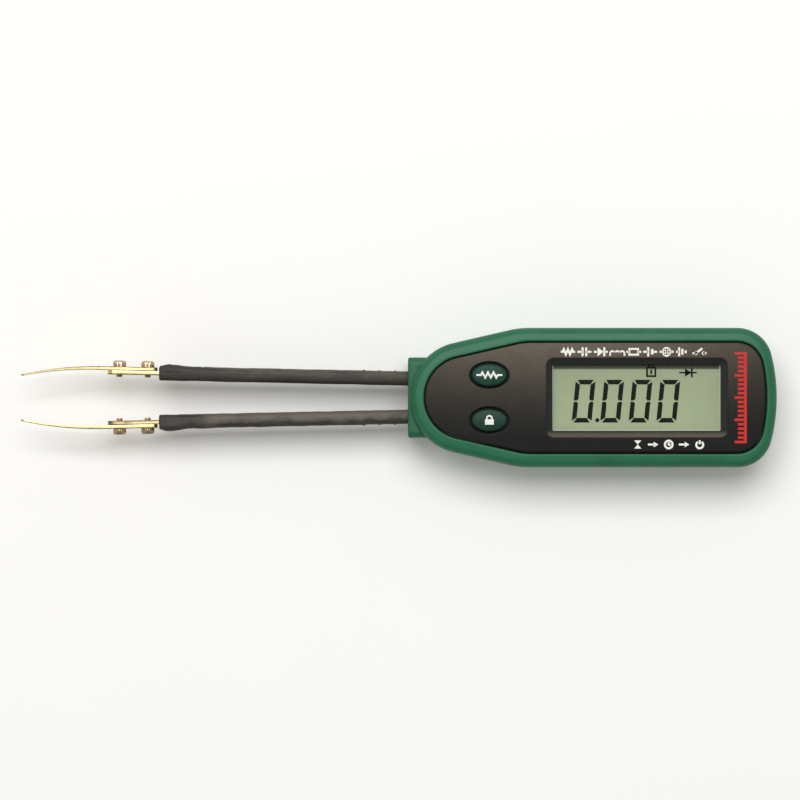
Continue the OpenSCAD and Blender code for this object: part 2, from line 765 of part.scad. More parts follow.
module battery_cover() color("seagreen") difference() {
    prism(placed(rrect(cover_l, cover_w, cover_corner), [cover_x, 0]), hair, cover_t);
    rod([cover_screw_x, 0], cover_screw_d + 2 * hole_fit, -eps, cover_t + eps);
    rod([cover_screw_x, 0], cover_head_d + 2 * hole_fit, -eps, cover_t - cover_head_h);
    // Finger grooves at the rear edge
    for (i = [1 : 4])
        bar([cover_x + cover_l / 2 - cover_corner - i * groove_pitch, 0], groove_w, cover_w / 2,
            -eps, groove_depth);
}

module battery_cover_screw() color("silver") translate([cover_screw_x, 0, cover_t - cover_head_h])
    screw(cover_screw_d, cell_top - hole_skin - hair - cover_t + cover_head_h, cover_head_d, cover_head_h);

// ---------- fasteners ----------

module case_screws() color("silver") for (p = post_places) translate([p.x, p.y, case_head_sink])
    screw(case_screw_d, case_hole_top - case_hole_spare - case_head_sink, case_head_d, case_head_h);

module board_screws() color("silver") for (p = board_screw_places) translate([p.x, p.y, board_low])
    screw(board_screw_d, plate_low - 2 * hole_skin - board_low, board_head_d, board_head_h);

// ---------- arm block ----------

function strip_mid(x) = root_y - (x - bend_x) * tan(splay);
// Half width of the block, and distance to the terminal plates
block_half = strip_t / 2 + strip_room;

module arm_block() color("white") difference() {
    prism([
        [block_x, strip_mid(block_x) - block_half], [block_x, block_half - strip_mid(block_x)],
        [block_end_x, block_half - strip_mid(block_end_x)],
        [block_end_x, strip_mid(block_end_x) - block_half]
    ], case_wall, case_wall + block_h);
    for (x = peg_places) rod([x, 0], peg_d + hole_fit, case_wall - eps, case_wall + peg_h + hole_fit);
    for (side = [LEFT, RIGHT]) arm_frame(side)
        terminal_bore(terminal_screw_d + 2 * thread_fit, block_half + terminal_bite + hole_skin);
}

// Bore along the arm's thickness at the terminal screw
module terminal_bore(d, depth) {
    translate([block_at + block_len / 2, -depth, 0]) rotate([-90, 0, 0])
        cylinder(d = d, h = depth + block_half + terminal_t + eps, $fn = ROUND);
}

module terminal(side) color("goldenrod") arm_frame(side) difference() {
    translate([block_at, block_half, -strip_h / 2 - terminal_rise])
        cube([block_len + terminal_over, terminal_t, strip_h + 2 * terminal_rise]);
    terminal_bore(terminal_screw_d + 2 * hole_fit, 0);
}

module terminal_screws() color("silver") for (side = [LEFT, RIGHT]) arm_frame(side)
    translate([block_at + block_len / 2, block_half + terminal_t, 0]) rotate([90, 0, 0])
        screw(terminal_screw_d, 2 * block_half + terminal_t + terminal_bite,
            terminal_head_d, terminal_head_h);

// Lead from a terminal plate to the board, as a swept round section
lead_drop = 1.4;
lead_path = [
    [0, 0, 0], [0.4, 0, 0], [0.9, 0.6, 0], [1.2, 1.6, -0.3],
    [1.4, 2.8, -0.8], [1.7, 3.8, -1.3], [2.5, 4.3, -lead_drop], [3.6, 4.5, -lead_drop]
];
module lead(side) color(side > 0 ? "red" : "black") {
    start = [
        block_end_x + terminal_over + hair, strip_mid(block_end_x) + block_half + terminal_t / 2,
        board_top + lead_d / 2 + lead_drop + hair
    ];
    rings = [
        for (i = [0 : len(lead_path) - 1])
            let (
                a = lead_path[max(i - 1, 0)],
                b = lead_path[min(i + 1, len(lead_path) - 1)],
                t = (b - a) / norm(b - a),
                u = cross([0, 0, 1], t) / norm(cross([0, 0, 1], t)),
                v = cross(t, u)
            )
            [for (k = [0 : 7]) start + lead_path[i] + lead_d / 2 * (u * cos(k * 45) + v * sin(k * 45))]
    ];
    if (side > 0) skin(rings); else mirror([0, 1, 0]) skin(rings);
}

// ---------- arms ----------

// Bar across an arm's frame: a side profile in X and Z, between two depths in Y
module side_bar(profile, y0, y1) {
    translate([0, y1, 0]) rotate([90, 0, 0]) linear_extrude(y1 - y0) polygon(profile);
}

neck_len = 0.7;
neck_x = mouth_x + neck_len;
function strip_profile(grow) = [
    [strip_root_x, -strip_h / 2 - grow], [strip_root_x, strip_h / 2 + grow],
    [neck_x, strip_h / 2 + grow], [neck_x - neck_len, strip_tip_h / 2 + grow],
    [strip_end_x, strip_tip_h / 2 + grow], [strip_end_x, -strip_tip_h / 2 - grow],
    [neck_x - neck_len, -strip_tip_h / 2 - grow], [neck_x, -strip_h / 2 - grow]
];

// Bore along the arm's thickness
module cross_bore(x, d) {
    translate([x, -sleeve_t, 0]) rotate([-90, 0, 0]) cylinder(d = d, h = 2 * sleeve_t, $fn = ROUND);
}

module strip(side) color("khaki") arm_frame(side) difference() {
    side_bar(strip_profile(0), -strip_t / 2, strip_t / 2);
    for (x = tip_screw_x) cross_bore(x, tip_thread_d + 2 * thread_fit);
    cross_bore(block_at + block_len / 2, terminal_screw_d + 2 * strip_room);
}

module sleeve(side) color("darkslategray") arm_frame(side) difference() {
    rings = [
        for (s = [
            [sleeve_root_x, 0, 0.1], [sleeve_root_x - 0.3, 0, 0],
            [mouth_x / 2, 0.5, 0], [mouth_x + 0.6, 1, 0], [mouth_x + 0.15, 1, 0.2], [mouth_x, 1, 0.5]
        ])
            let (h = sleeve_root_h + (sleeve_mouth_h - sleeve_root_h) * s[1])
            [for (p = inset(rrect(h, sleeve_t, sleeve_round), s[2])) [s[0], p.y, p.x]]
    ];
    skin(rings);
    side_bar(strip_profile(strip_fit), -strip_t / 2 - strip_fit, strip_t / 2 + strip_fit);
}

// Centre line of a tip blade: straight, then curving inwards to the point
function blade_mid(s) =
    let (a = asin(max(s, 0) / curve_r))
    [point_x + curve_len - s, blade_y - curve_r * (1 - cos(a)), a];
function blade_half(s) = (blade_t + (point_t - blade_t) * max(s, 0) / curve_len) / 2;
function blade_edge(s, out) =
    let (m = blade_mid(s)) [m.x, m.y] + out * blade_half(s) * [-sin(m.z), cos(m.z)];

blade_steps = [for (i = [0 : 10]) curve_len * i / 10];
blade_root_x = mouth_x - blade_gap;
module tip(side) color("gold") arm_frame(side) difference() {
    intersection() {
        translate([0, 0, -strip_tip_h / 2 - eps]) linear_extrude(strip_tip_h + 2 * eps) polygon(concat(
            [[blade_root_x, blade_y + blade_t / 2], [blade_root_x, blade_y - blade_t / 2]],
            [for (s = blade_steps) blade_edge(s, -1)],
            [for (i = [len(blade_steps) - 1 : -1 : 0]) blade_edge(blade_steps[i], 1)]
        ));
        side_bar([
            [blade_root_x + eps, -strip_tip_h / 2], [blade_root_x + eps, strip_tip_h / 2],
            [strip_end_x - 1, strip_tip_h / 2], [point_x - eps, point_h / 2],
            [point_x - eps, -point_h / 2], [strip_end_x - 1, -strip_tip_h / 2]
        ], -sleeve_t, sleeve_t);
    }
    for (x = tip_screw_x) cross_bore(x, tip_thread_d + 2 * hole_fit);
}

module tip_screws(side) color("peru") arm_frame(side) for (x = tip_screw_x)
    translate([x, strip_t / 2 + blade_t, 0]) rotate([90, 0, 0])
        screw(tip_thread_d, blade_t + strip_t + tip_thread_out, tip_head_d, tip_head_h);

// ---------- label ----------

module back_label() color("lightgray")
    prism(placed(rrect(label_l, label_w, label_corner), [label_x, 0]), hair, label_t);

// ---------- nodes ----------

top_case();
bottom_case();
faceplate();
display_window();
display_glass();
display_holder();
contact_strip(LEFT);  // front_contact_strip
contact_strip(RIGHT);  // rear_contact_strip
circuit_board();
main_chip();
board_parts();
button(RIGHT);  // function_button
plunger(RIGHT);  // function_plunger
push_switch(RIGHT);  // function_switch
button(LEFT);  // hold_button
plunger(LEFT);  // hold_plunger
push_switch(LEFT);  // hold_switch
coin_cell();
battery_spring();
battery_side_contact();
battery_cover();
battery_cover_screw();
case_screws();
board_screws();
arm_block();
terminal(LEFT);  // left_terminal
terminal(RIGHT);  // right_terminal
terminal_screws();
lead(LEFT);  // left_lead
lead(RIGHT);  // right_lead
strip(LEFT);  // left_strip
strip(RIGHT);  // right_strip
sleeve(LEFT);  // left_sleeve
sleeve(RIGHT);  // right_sleeve
tip(LEFT);  // left_tip
tip(RIGHT);  // right_tip
tip_screws(LEFT);  // left_tip_screws
tip_screws(RIGHT);  // right_tip_screws
back_label();
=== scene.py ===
"""Visual model of a tweezer-style component tester, dressed on its packed frame.

Every surface is worked out in millimetres in the frame of the packed model, and put into metres
when its mesh is made. -X points along the tips, +Y is the function button's side, +Z is up.
"""
import math

import bpy
import numpy as np
from bpy.props import FloatProperty, FloatVectorProperty, PointerProperty
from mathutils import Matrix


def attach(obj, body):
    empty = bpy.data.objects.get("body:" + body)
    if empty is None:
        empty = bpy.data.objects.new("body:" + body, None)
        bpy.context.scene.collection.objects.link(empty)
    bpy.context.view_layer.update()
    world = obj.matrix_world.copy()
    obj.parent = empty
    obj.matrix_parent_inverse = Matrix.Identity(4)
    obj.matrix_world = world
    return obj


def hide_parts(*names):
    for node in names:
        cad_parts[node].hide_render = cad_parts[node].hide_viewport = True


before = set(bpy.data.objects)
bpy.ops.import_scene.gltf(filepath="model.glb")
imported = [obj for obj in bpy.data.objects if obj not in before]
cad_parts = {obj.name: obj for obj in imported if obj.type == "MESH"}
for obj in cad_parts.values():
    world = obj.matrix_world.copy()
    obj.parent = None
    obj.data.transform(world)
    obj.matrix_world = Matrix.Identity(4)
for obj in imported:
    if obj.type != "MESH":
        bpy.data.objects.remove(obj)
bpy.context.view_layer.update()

bl_info = {
    "name": "Component tester",
    "version": (1, 0, 0),
    "blender": (4, 5, 0),
    "location": "3D View > Sidebar > Tester",
    "description": "Builds the visual pieces of a tweezer-style component tester on its packed frame",
    "category": "Object",
}

# ---------------------------------------------------------------- fixed places, in millimetres

RIGHT, LEFT = 1, -1

X, Y, Z = range(3)

TOP = 20.0              # height of the rim
SEAM = 10.0             # height of the seam between the case halves
PLATE_TOP = 19.4        # upper face of the faceplate
PLATE_LOW = 17.8        # its underside at the edge, above the flange
PLATE_FLANGE = 16.9     # underside of its flange
BEZEL_FLOOR = 17.6      # floor of the sunk frame round the display
LIP_LOW = 17.0          # underside of that floor, where the window lies
WALL = 1.75             # wall of the case halves
BOWL_FLOOR = 2.0        # inner face of the back

# Front, nose radius, half width, taper, shoulder radius, rear end, bulge radius, corner radius
BODY = (3.035, 13.46, 16.7, 12.9, 20.0, 90.825, 42.0, 8.4)
PLATE = (6.535, 9.8, 13.24, 12.9, 16.54, 88.125, 39.3, 6.3)
GROOVE = 0.25           # gap between the faceplate and the rim

# Collar round the roots of the arms: its ends along X, half its width and its height
COLLAR_FRONT, COLLAR_REAR = 2.575, 8.4
COLLAR_HALF, COLLAR_TOP = 9.65, 17.0

# Rounded rectangles seen from above: length, width, corner radius and middle
VIEW_X = 57.275
VIEW = (40.3, 15.9, 0.35, (VIEW_X, 0))
GLASS = (44.3, 19.9, 0.3, (VIEW_X, 0))
COVER = (31.0, 23.4, 2.5, (61.225, 0))
LABEL = (27.0, 17.0, 1.0, (30.275, 0))
WINDOW_TOP, WINDOW_LOW = 16.98, 16.2
GLASS_TOP, GLASS_LOW = 16.11, 14.25

BUTTON = (21.975, 5.4)  # middle of the function button
CAP = (8.6, 5.5)        # length and width of a cap
CAP_LOW, CAP_TOP = 15.25, 20.3
CAP_EDGE = 0.7          # rounding of a cap's upper edge

# Places along an arm are measured from its bending point, and fall towards the tip
BEND = (7.575, 4.5, 10.0)       # bending point of the right arm
SPLAY = math.radians(1.2)       # outward turn of each arm at rest
SLEEVE_ROOT, MOUTH = -0.6, -64.9
SLEEVE_WIDE, SLEEVE_HIGH = 3.42, 8.4
STRIP_ROOT, STRIP_END = 7.9, -77.3
STRIP_T, BLADE_T = 1.0, 0.9     # thickness of the strip and of the blade at its root
STRIP_HIGH = 4.6                # height of the strip's free end and of the blade
POINT_X = -98.397
CURVE, CURVE_R = 18.8, 85.0     # length and radius of the blade's bend
SCREW_AT = (-67.8, -74.6)
FLAT_POINTS = 112               # points round the section of a strip or blade

POSTS = [(x, side * y) for x, y in ((30.275, 12.269), (85.142, 9.668)) for side in (RIGHT, LEFT)]
PEGS = (10.925, 14.625)
CELL_X = 62.825
COVER_SCREW_X = 48.725
SEAT, COVER_SEAT = 3.4, 0.7     # heights at which the heads of the back's screws sit

# Thickness of print on a level face and on a dome, and how far it reaches into the face
PRINT, DOME_PRINT, SUNK = 0.035, 0.05, 0.02


# ---------------------------------------------------------------- sizes and colours to change

def length(name, description, value):
    return FloatProperty(name=name, description=description, default=value / 1000, min=0.0, unit="LENGTH",
                         precision=5)


def fraction(name, description, value, most):
    return FloatProperty(name=name, description=description, default=value, min=0.0, max=most, subtype="FACTOR")


def colour(name, description, value):
    return FloatVectorProperty(name=name, description=description, default=value, min=0.0, max=1.0,
                               size=3, subtype="COLOR")


class TesterCase(bpy.types.PropertyGroup):
    """Roundings of the case and its faceplate."""
    rim_round: length("Rim rounding", "Rounding of the rim's outer edge", 2.4)
    back_round: length("Back rounding", "Rounding of the back's outer edge", 3.0)
    lip_round: length("Lip rounding", "Rounding of the rim's inner edge, at the faceplate", 0.3)
    seam_bevel: length("Seam bevel", "Bevel of both case halves at the seam", 0.14)
    collar_round: length("Collar rounding", "Rounding of the collar's long edges", 1.6)
    plate_round: length("Faceplate rounding", "Rounding of the faceplate's edge", 0.5)
    bezel_run: length("Frame slope", "Width of the sloping sides round the display", 1.65)
    cap_dome: length("Button dome", "Height of the dome on a button", 0.22)


class TesterArms(bpy.types.PropertyGroup):
    """Sizes of the sleeved arms."""
    bulge: length("Sleeve bulge", "Height of the swelling at the mouth of a sleeve", 0.5)
    ridge: length("Sleeve ridge", "Height of the three small ridges by the collar", 0.2)
    crease: length("Sleeve crease", "Depth of the sleeve's creases", 0.14)
    edge_round: length("Metal edge", "Rounding of the strips' and blades' edges", 0.14)


class TesterColours(bpy.types.PropertyGroup):
    """Base colours."""
    case: colour("Case", "Moulded rim and back", (0.018, 0.142, 0.070))
    plate: colour("Faceplate", "Dark plate", (0.006, 0.007, 0.007))
    # Painted reflection on the faceplate, growing towards the function button's side
    painted_reflection: colour("Faceplate haze", "Brownish haze towards the function button's side", (0.160, 0.134, 0.106))
    button: colour("Buttons", "Oval caps", (0.008, 0.050, 0.033))
    lcd: colour("Display", "Unlit display", (0.440, 0.520, 0.330))
    segment: colour("Segments", "Dark segments of the display", (0.004, 0.008, 0.005))
    ink: colour("White print", "Marks on the faceplate and buttons", (0.90, 0.90, 0.87))
    red: colour("Red print", "Scale at the rear of the faceplate", (0.60, 0.014, 0.009))
    sleeve: colour("Sleeves", "Black shrink sleeve", (0.036, 0.033, 0.028))
    gold: colour("Gold", "Plating of strips and tips", (0.82, 0.66, 0.35))
    bronze: colour("Bronze", "Plating of the tip screws", (0.54, 0.41, 0.28))
    floor: colour("Floor", "Pale floor", (0.935, 0.938, 0.945))


class TesterLight(bpy.types.PropertyGroup):
    """Studio light."""
    key: fraction("Key", "Strength of the large soft lamp", 0.68, 4.0)
    sky: fraction("Surroundings", "Strength of the light from all sides", 0.39, 2.0)
    glow: fraction("Floor lift", "Brightening of the floor for the camera alone", 0.06, 1.0)


def mm(value):
    """Millimetres of a size that is kept in metres."""
    return value * 1000


# ---------------------------------------------------------------- outlines

def arc(centre, radius, start, end, steps, first=0, last=0):
    """Points of a circle and their outward normals: the centre plus the radius times the unit
    vector at evenly spaced angles. Each row is x, y, normal x, normal y."""
    turn = np.radians(np.linspace(start, end, steps + 1))[first:steps + 1 - last]
    unit = np.column_stack([np.cos(turn), np.sin(turn)])
    return np.column_stack([np.asarray(centre) + radius * unit, unit])


def pod(front, nose_r, half, lean, turn_r, rear, bulge_r, corner_r):
    """Outline of the body seen from above: tangent arcs for the bulging end, the rear corners,
    the shoulders and the nose, with straight sides and tapers between them."""
    slope = math.radians(lean)
    nose_x = front + nose_r
    turn_x = nose_x + (half * math.cos(slope) - nose_r + turn_r * (1 - math.cos(slope))) / math.sin(slope)
    corner_y = half - corner_r
    corner_x = rear - bulge_r + math.sqrt((bulge_r - corner_r) ** 2 - corner_y ** 2)
    swing = math.degrees(math.asin(corner_y / (bulge_r - corner_r)))
    return np.vstack([
        arc((rear - bulge_r, 0), bulge_r, -swing, swing, 30),
        arc((corner_x, corner_y), corner_r, swing, 90, 18, first=1),
        arc((turn_x, half - turn_r), turn_r, 90, 90 + lean, 12),
        arc((nose_x, 0), nose_r, 90 + lean, 270 - lean, 72, first=1),
        arc((turn_x, turn_r - half), turn_r, 270 - lean, 270, 12, first=1),
        arc((corner_x, -corner_y), corner_r, 270, 360 - swing, 18, last=1),
    ])


def rounded(length_x, width_y, radius, centre=(0.0, 0.0), steps=8):
    """Rounded rectangle: four quarter circles about the corners of the inner rectangle."""
    x, y = length_x / 2 - radius, width_y / 2 - radius
    corners = ((x, y), (-x, y), (-x, -y), (x, -y))
    return np.vstack([
        arc((centre[0] + c[0], centre[1] + c[1]), radius, 90 * k, 90 * k + 90, steps)
        for k, c in enumerate(corners)
    ])


def grown(plan, by):
    """The rounded rectangle of a plan, longer and wider by a clearance, with the same corners."""
    length_x, width_y, radius, centre = plan
    return rounded(length_x + by, width_y + by, radius, centre)


def ellipse(length_x, width_y, centre=(0.0, 0.0), steps=96):
    """Ellipse: half axes times (cos, sin). Its normal runs along (cos / half length, sin / half width)."""
    turn = np.arange(steps) * 2 * np.pi / steps
    half = np.array([length_x, width_y]) / 2
    unit = np.column_stack([np.cos(turn), np.sin(turn)])
    normal = unit / half
    normal /= np.linalg.norm(normal, axis=1)[:, None]
    return np.column_stack([np.asarray(centre) + half * unit, normal])


def moved_in(outline, inset):
    """Points of an outline moved against its normals."""
    return outline[:, :2] - inset * outline[:, 2:]


def level(outline, inset, z):
    """The outline moved inwards by an inset, at a height or at one height for each point."""
    flat = moved_in(outline, inset)
    return np.column_stack([flat, np.broadcast_to(z, len(flat))])


def profile(outline, steps):
    """Rings of an outline carried through (inset, height) steps."""
    return np.stack([level(outline, inset, z) for inset, z in steps])


def fillet(radius, z, up, steps=8, reach=90.0):
    """(inset, height) steps of a quarter round that ends in a flat face at height z. It rises
    towards the face if up, and leaves the face going up otherwise."""
    turn = np.radians(np.linspace(0, reach, steps + 1))
    inset = radius * (1 - np.cos(turn))
    if up:
        return list(zip(inset, z - radius + radius * np.sin(turn)))
    return list(zip(inset, z + radius - radius * np.sin(turn)))[::-1]


# ---------------------------------------------------------------- closed surfaces

def outward(points, faces):
    """The surface with its faces turned outwards: the signed volume of the fans from the origin
    to every face is made positive."""
    volume = 0.0
    for block in faces:
        first = points[block[:, 0]]
        for k in range(1, block.shape[1] - 1):
            volume += np.einsum("ij,ij->", first, np.cross(points[block[:, k]], points[block[:, k + 1]]))
    return points, (faces if volume > 0 else [block[:, ::-1] for block in faces])


def skin(rings, loop=False):
    """Surface over a stack of closed rings. Its ends are closed by fans about their middles, or
    the last ring joins the first one if loop."""
    rings = np.asarray(rings, dtype=float)
    rows, count = rings.shape[:2]
    points = rings.reshape(-1, 3)
    row = np.arange(rows if loop else rows - 1)[:, None] * count
    step = np.arange(count)[None, :]
    after = (step + 1) % count
    above = (row + count) % (rows * count)
    quads = np.stack([row + step, row + after, above + after, above + step], -1).reshape(-1, 4)
    if loop:
        return outward(points, [quads])
    middle = np.stack([rings[0].mean(axis=0), rings[-1].mean(axis=0)])
    ring = np.arange(count)
    base = np.column_stack([np.roll(ring, -1), ring, np.full(count, len(points))])
    last = (rows - 1) * count + ring
    lid = np.column_stack([last, np.roll(last, -1), np.full(count, len(points) + 1)])
    return outward(np.vstack([points, middle]), [quads, base, lid])


def together(solids):
    """Several surfaces as one."""
    points, faces, shift = [], [], 0
    for corner, blocks in solids:
        points.append(corner)
        faces += [block + shift for block in blocks]
        shift += len(corner)
    return np.vstack(points), faces


def carried(solid, matrix, move=(0, 0, 0)):
    """The surface turned by a 3x3 matrix and then moved."""
    return outward(solid[0] @ np.asarray(matrix, dtype=float).T + np.asarray(move), solid[1])


def rod(x, y, radius, low, high, steps=48):
    """Upright cylinder between two heights."""
    return skin(profile(ellipse(2 * radius, 2 * radius, (x, y), steps), [(0, low), (0, high)]))


def lathe(steps, count=48):
    """Surface of a profile turned about +Z: each (radius, height) makes a circle."""
    circle = ellipse(2, 2, steps=count)[:, :2]
    return skin(np.stack([np.column_stack([radius * circle, np.full(count, z)]) for radius, z in steps]))


def slab(outline, low, high, bevel=0.0):
    """Prism on an outline with bevelled upper and lower edges."""
    if bevel:
        return skin(profile(outline, [(bevel, low), (0, low + bevel), (0, high - bevel), (bevel, high)]))
    return skin(profile(outline, [(0, low), (0, high)]))


def arm_place(points, side):
    """From an arm's own frame, with its bending point at the origin, tips along -X and the outside
    along +Y, to the tester's: turned outwards by the splay, moved to the bending point, and
    mirrored in Y for the left arm."""
    x, y, z = points[..., 0], points[..., 1], points[..., 2]
    return np.stack([
        BEND[0] + x * math.cos(SPLAY) + y * math.sin(SPLAY),
        side * (BEND[1] - x * math.sin(SPLAY) + y * math.cos(SPLAY)),
        BEND[2] + z,
    ], -1)


def on_arm(solid, side):
    """A surface from an arm's own frame."""
    return outward(arm_place(solid[0], side), solid[1])


# ---------------------------------------------------------------- meshes and pieces

def mesh_of(name, solid):
    """A mesh in metres from a surface in millimetres."""
    mesh = bpy.data.meshes.new(name)
    faces = [tuple(face) for block in solid[1] for face in block.tolist()]
    mesh.from_pydata((solid[0] * 0.001).tolist(), [], faces)
    mesh.validate()
    return mesh


def shaped(base, add=(), cut=()):
    """The base surface with surfaces added and then others cut away, each by Blender's exact
    boolean."""
    block = bpy.data.objects.new("shaping", mesh_of("shaping", base))
    bpy.context.scene.collection.objects.link(block)
    tools = []
    for operation, solid in [("UNION", solid) for solid in add] + [("DIFFERENCE", solid) for solid in cut]:
        tool = bpy.data.objects.new("tool", mesh_of("tool", solid))
        bpy.context.scene.collection.objects.link(tool)
        tools.append(tool)
        step = block.modifiers.new("step", "BOOLEAN")
        step.operation = operation
        step.solver = "EXACT"
        step.object = tool
    mesh = bpy.data.meshes.new_from_object(block.evaluated_get(bpy.context.evaluated_depsgraph_get()))
    for obj in tools + [block]:
        data = obj.data
        bpy.data.objects.remove(obj)
        bpy.data.meshes.remove(data)
    return mesh


def piece(name, form, finish, body, nodes=(), angle=32.0, flat_weight=True):
    """A finished object from a surface or a mesh. It rides on a body and stands for CAD nodes, which it hides.
    Edges sharper than the angle stay sharp."""
    mesh = form if isinstance(form, bpy.types.Mesh) else mesh_of(name, form)
    mesh.name = name
    mesh.materials.clear()
    mesh.materials.append(finish)
    mesh.shade_smooth()
    mesh.set_sharp_from_angle(angle=math.radians(angle))
    obj = bpy.data.objects.new(name, mesh)
    bpy.context.scene.collection.objects.link(obj)
    if flat_weight:
        weight = obj.modifiers.new("even shading", "WEIGHTED_NORMAL")
        weight.keep_sharp = True
    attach(obj, body)
    if nodes:
        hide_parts(*nodes)
    return obj


# ---------------------------------------------------------------- finishes

def arithmetic(operation, turned=False):
    """Method for an operator: a Math node with the signal first, or second if turned."""
    def build(self, other):
        return self.graph.maths(operation, *((other, self) if turned else (self, other)))
    return build


class Signal:
    """One output socket of a node graph, so that sums on it can be written as an expression."""
    __add__ = arithmetic("ADD")
    __radd__ = arithmetic("ADD", turned=True)
    __sub__ = arithmetic("SUBTRACT")
    __rsub__ = arithmetic("SUBTRACT", turned=True)
    __mul__ = arithmetic("MULTIPLY")
    __rmul__ = arithmetic("MULTIPLY", turned=True)
    __pow__ = arithmetic("POWER")

    def __init__(self, graph, socket):
        self.graph = graph
        self.socket = socket


class Graph:
    """The nodes of a material or of the surroundings."""

    def __init__(self, owner):
        owner.use_nodes = True
        self.tree = owner.node_tree
        self.tree.nodes.clear()

    def feed(self, socket, value):
        if isinstance(value, Signal):
            self.tree.links.new(value.socket, socket)
        elif socket.type == "RGBA" and len(value) == 3:
            socket.default_value = (*value, 1.0)
        else:
            socket.default_value = value

    def node(self, kind, settings=None, sockets=None):
        """Adds a node: first its settings, then values or signals for its sockets by name or
        number."""
        node = self.tree.nodes.new(kind)
        for name, value in (settings or {}).items():
            setattr(node, name, value)
        for name, value in (sockets or {}).items():
            self.feed(node.inputs[name], value)
        return node

    def add(self, kind, settings=None, sockets=None, out=0):
        return Signal(self, self.node(kind, settings, sockets).outputs[out])

    def maths(self, operation, *values):
        """A Math node on values or signals."""
        return self.add("ShaderNodeMath", {"operation": operation}, dict(enumerate(values)))

    def ray(self, kind):
        """1 for rays of a kind, such as those of the camera."""
        return self.add("ShaderNodeLightPath", out="Is " + kind + " Ray")

    def blend(self, amount, first, second):
        """Colour between two colours."""
        return self.add("ShaderNodeMix", {"data_type": "RGBA"}, {0: amount, 6: first, 7: second}, out=2)

    def span(self, value, low, high, to_low=0.0, to_high=1.0):
        """The value's range from low to high, stretched to another range and held at its ends."""
        return self.add("ShaderNodeMapRange", {"clamp": True}, {
            "Value": value, "From Min": low, "From Max": high, "To Min": to_low, "To Max": to_high,
        })


class Finish(Graph):
    """A material of nodes round one Principled BSDF. Constants go onto its sockets by name."""

    def __init__(self, name, **constants):
        self.material = bpy.data.materials.new(name)
        super().__init__(self.material)
        self.shader = self.node("ShaderNodeBsdfPrincipled")
        self.node("ShaderNodeOutputMaterial", None, {"Surface": Signal(self, self.shader.outputs[0])})
        self.set(**constants)

    def set(self, **sockets):
        """The material, after values or signals have gone into its shader's sockets. A name has _
        for a space."""
        for name, value in sockets.items():
            self.feed(self.shader.inputs[name.replace("_", " ")], value)
        return self.material

    def place(self, stretch=(1, 1, 1)):
        """Object coordinates in millimetres, each axis times its stretch."""
        spot = self.add("ShaderNodeTexCoord", out="Object")
        return self.add("ShaderNodeVectorMath", {"operation": "MULTIPLY"},
                        {0: spot, 1: tuple(1000 * s for s in stretch)})

    def noise(self, size, detail=2.0, rough=0.5, stretch=(1, 1, 1), warp=0.0):
        """Noise between 0 and 1, with spots of a size in millimetres."""
        return self.add("ShaderNodeTexNoise", {"noise_dimensions": "3D"}, {
            "Vector": self.place(stretch), "Scale": 1 / size, "Detail": detail, "Roughness": rough,
            "Distortion": warp,
        })

    def stored(self, name):
        return self.add("ShaderNodeAttribute", {"attribute_name": name}, out="Fac")

    def axis(self, which):
        """One object coordinate in millimetres."""
        return self.add("ShaderNodeSeparateXYZ", None, {0: self.place()}, out=which)

    def away(self, value):
        """Size of a value without its sign."""
        return self.maths("ABSOLUTE", value)

    def relief(self, height, depth, strength=1.0):
        """Bump from a height between 0 and 1, for a depth in millimetres."""
        return self.add("ShaderNodeBump", None, {"Height": height, "Distance": depth / 1000, "Strength": strength})

    def flecks(self, pattern, low, high, most, first, second):
        """The first colour, with up to a share of the second where the pattern is high."""
        return self.blend(self.span(pattern, low, high, 0.0, most), first, second)


def shade(base, factor):
    """A colour made darker or lighter by a factor."""
    return tuple(min(channel * factor, 1.0) for channel in base)


def moulded(name, base, roughness=0.42, grain=0.16, depth=0.02, uneven=0.12, gloss=0.25, speckle=0.22,
            shadow=None):
    """Moulded plastic: fine spark-eroded grain, a faint cloudiness of the colour, and polish that
    varies over a few millimetres. The shadow darkens the colour where it is 1."""
    finish = Finish(name, Specular_IOR_Level=gloss)
    cloud = finish.noise(9.0, 4.0, 0.6)
    speck = finish.noise(grain, 2.0, 0.55)
    body = finish.blend(finish.span(cloud, 0.3, 0.7), shade(base, 1 - uneven), shade(base, 1 + uneven))
    if shadow:
        body = finish.blend(shadow(finish), body, shade(base, 0.08))
    return finish.set(
        Base_Color=finish.flecks(speck, 0.35, 0.65, speckle, body, shade(base, 0.6)),
        Roughness=roughness + 0.10 * (cloud - 0.5) + 0.08 * (speck - 0.5),
        Normal=finish.relief(speck, depth, 0.5),
    )


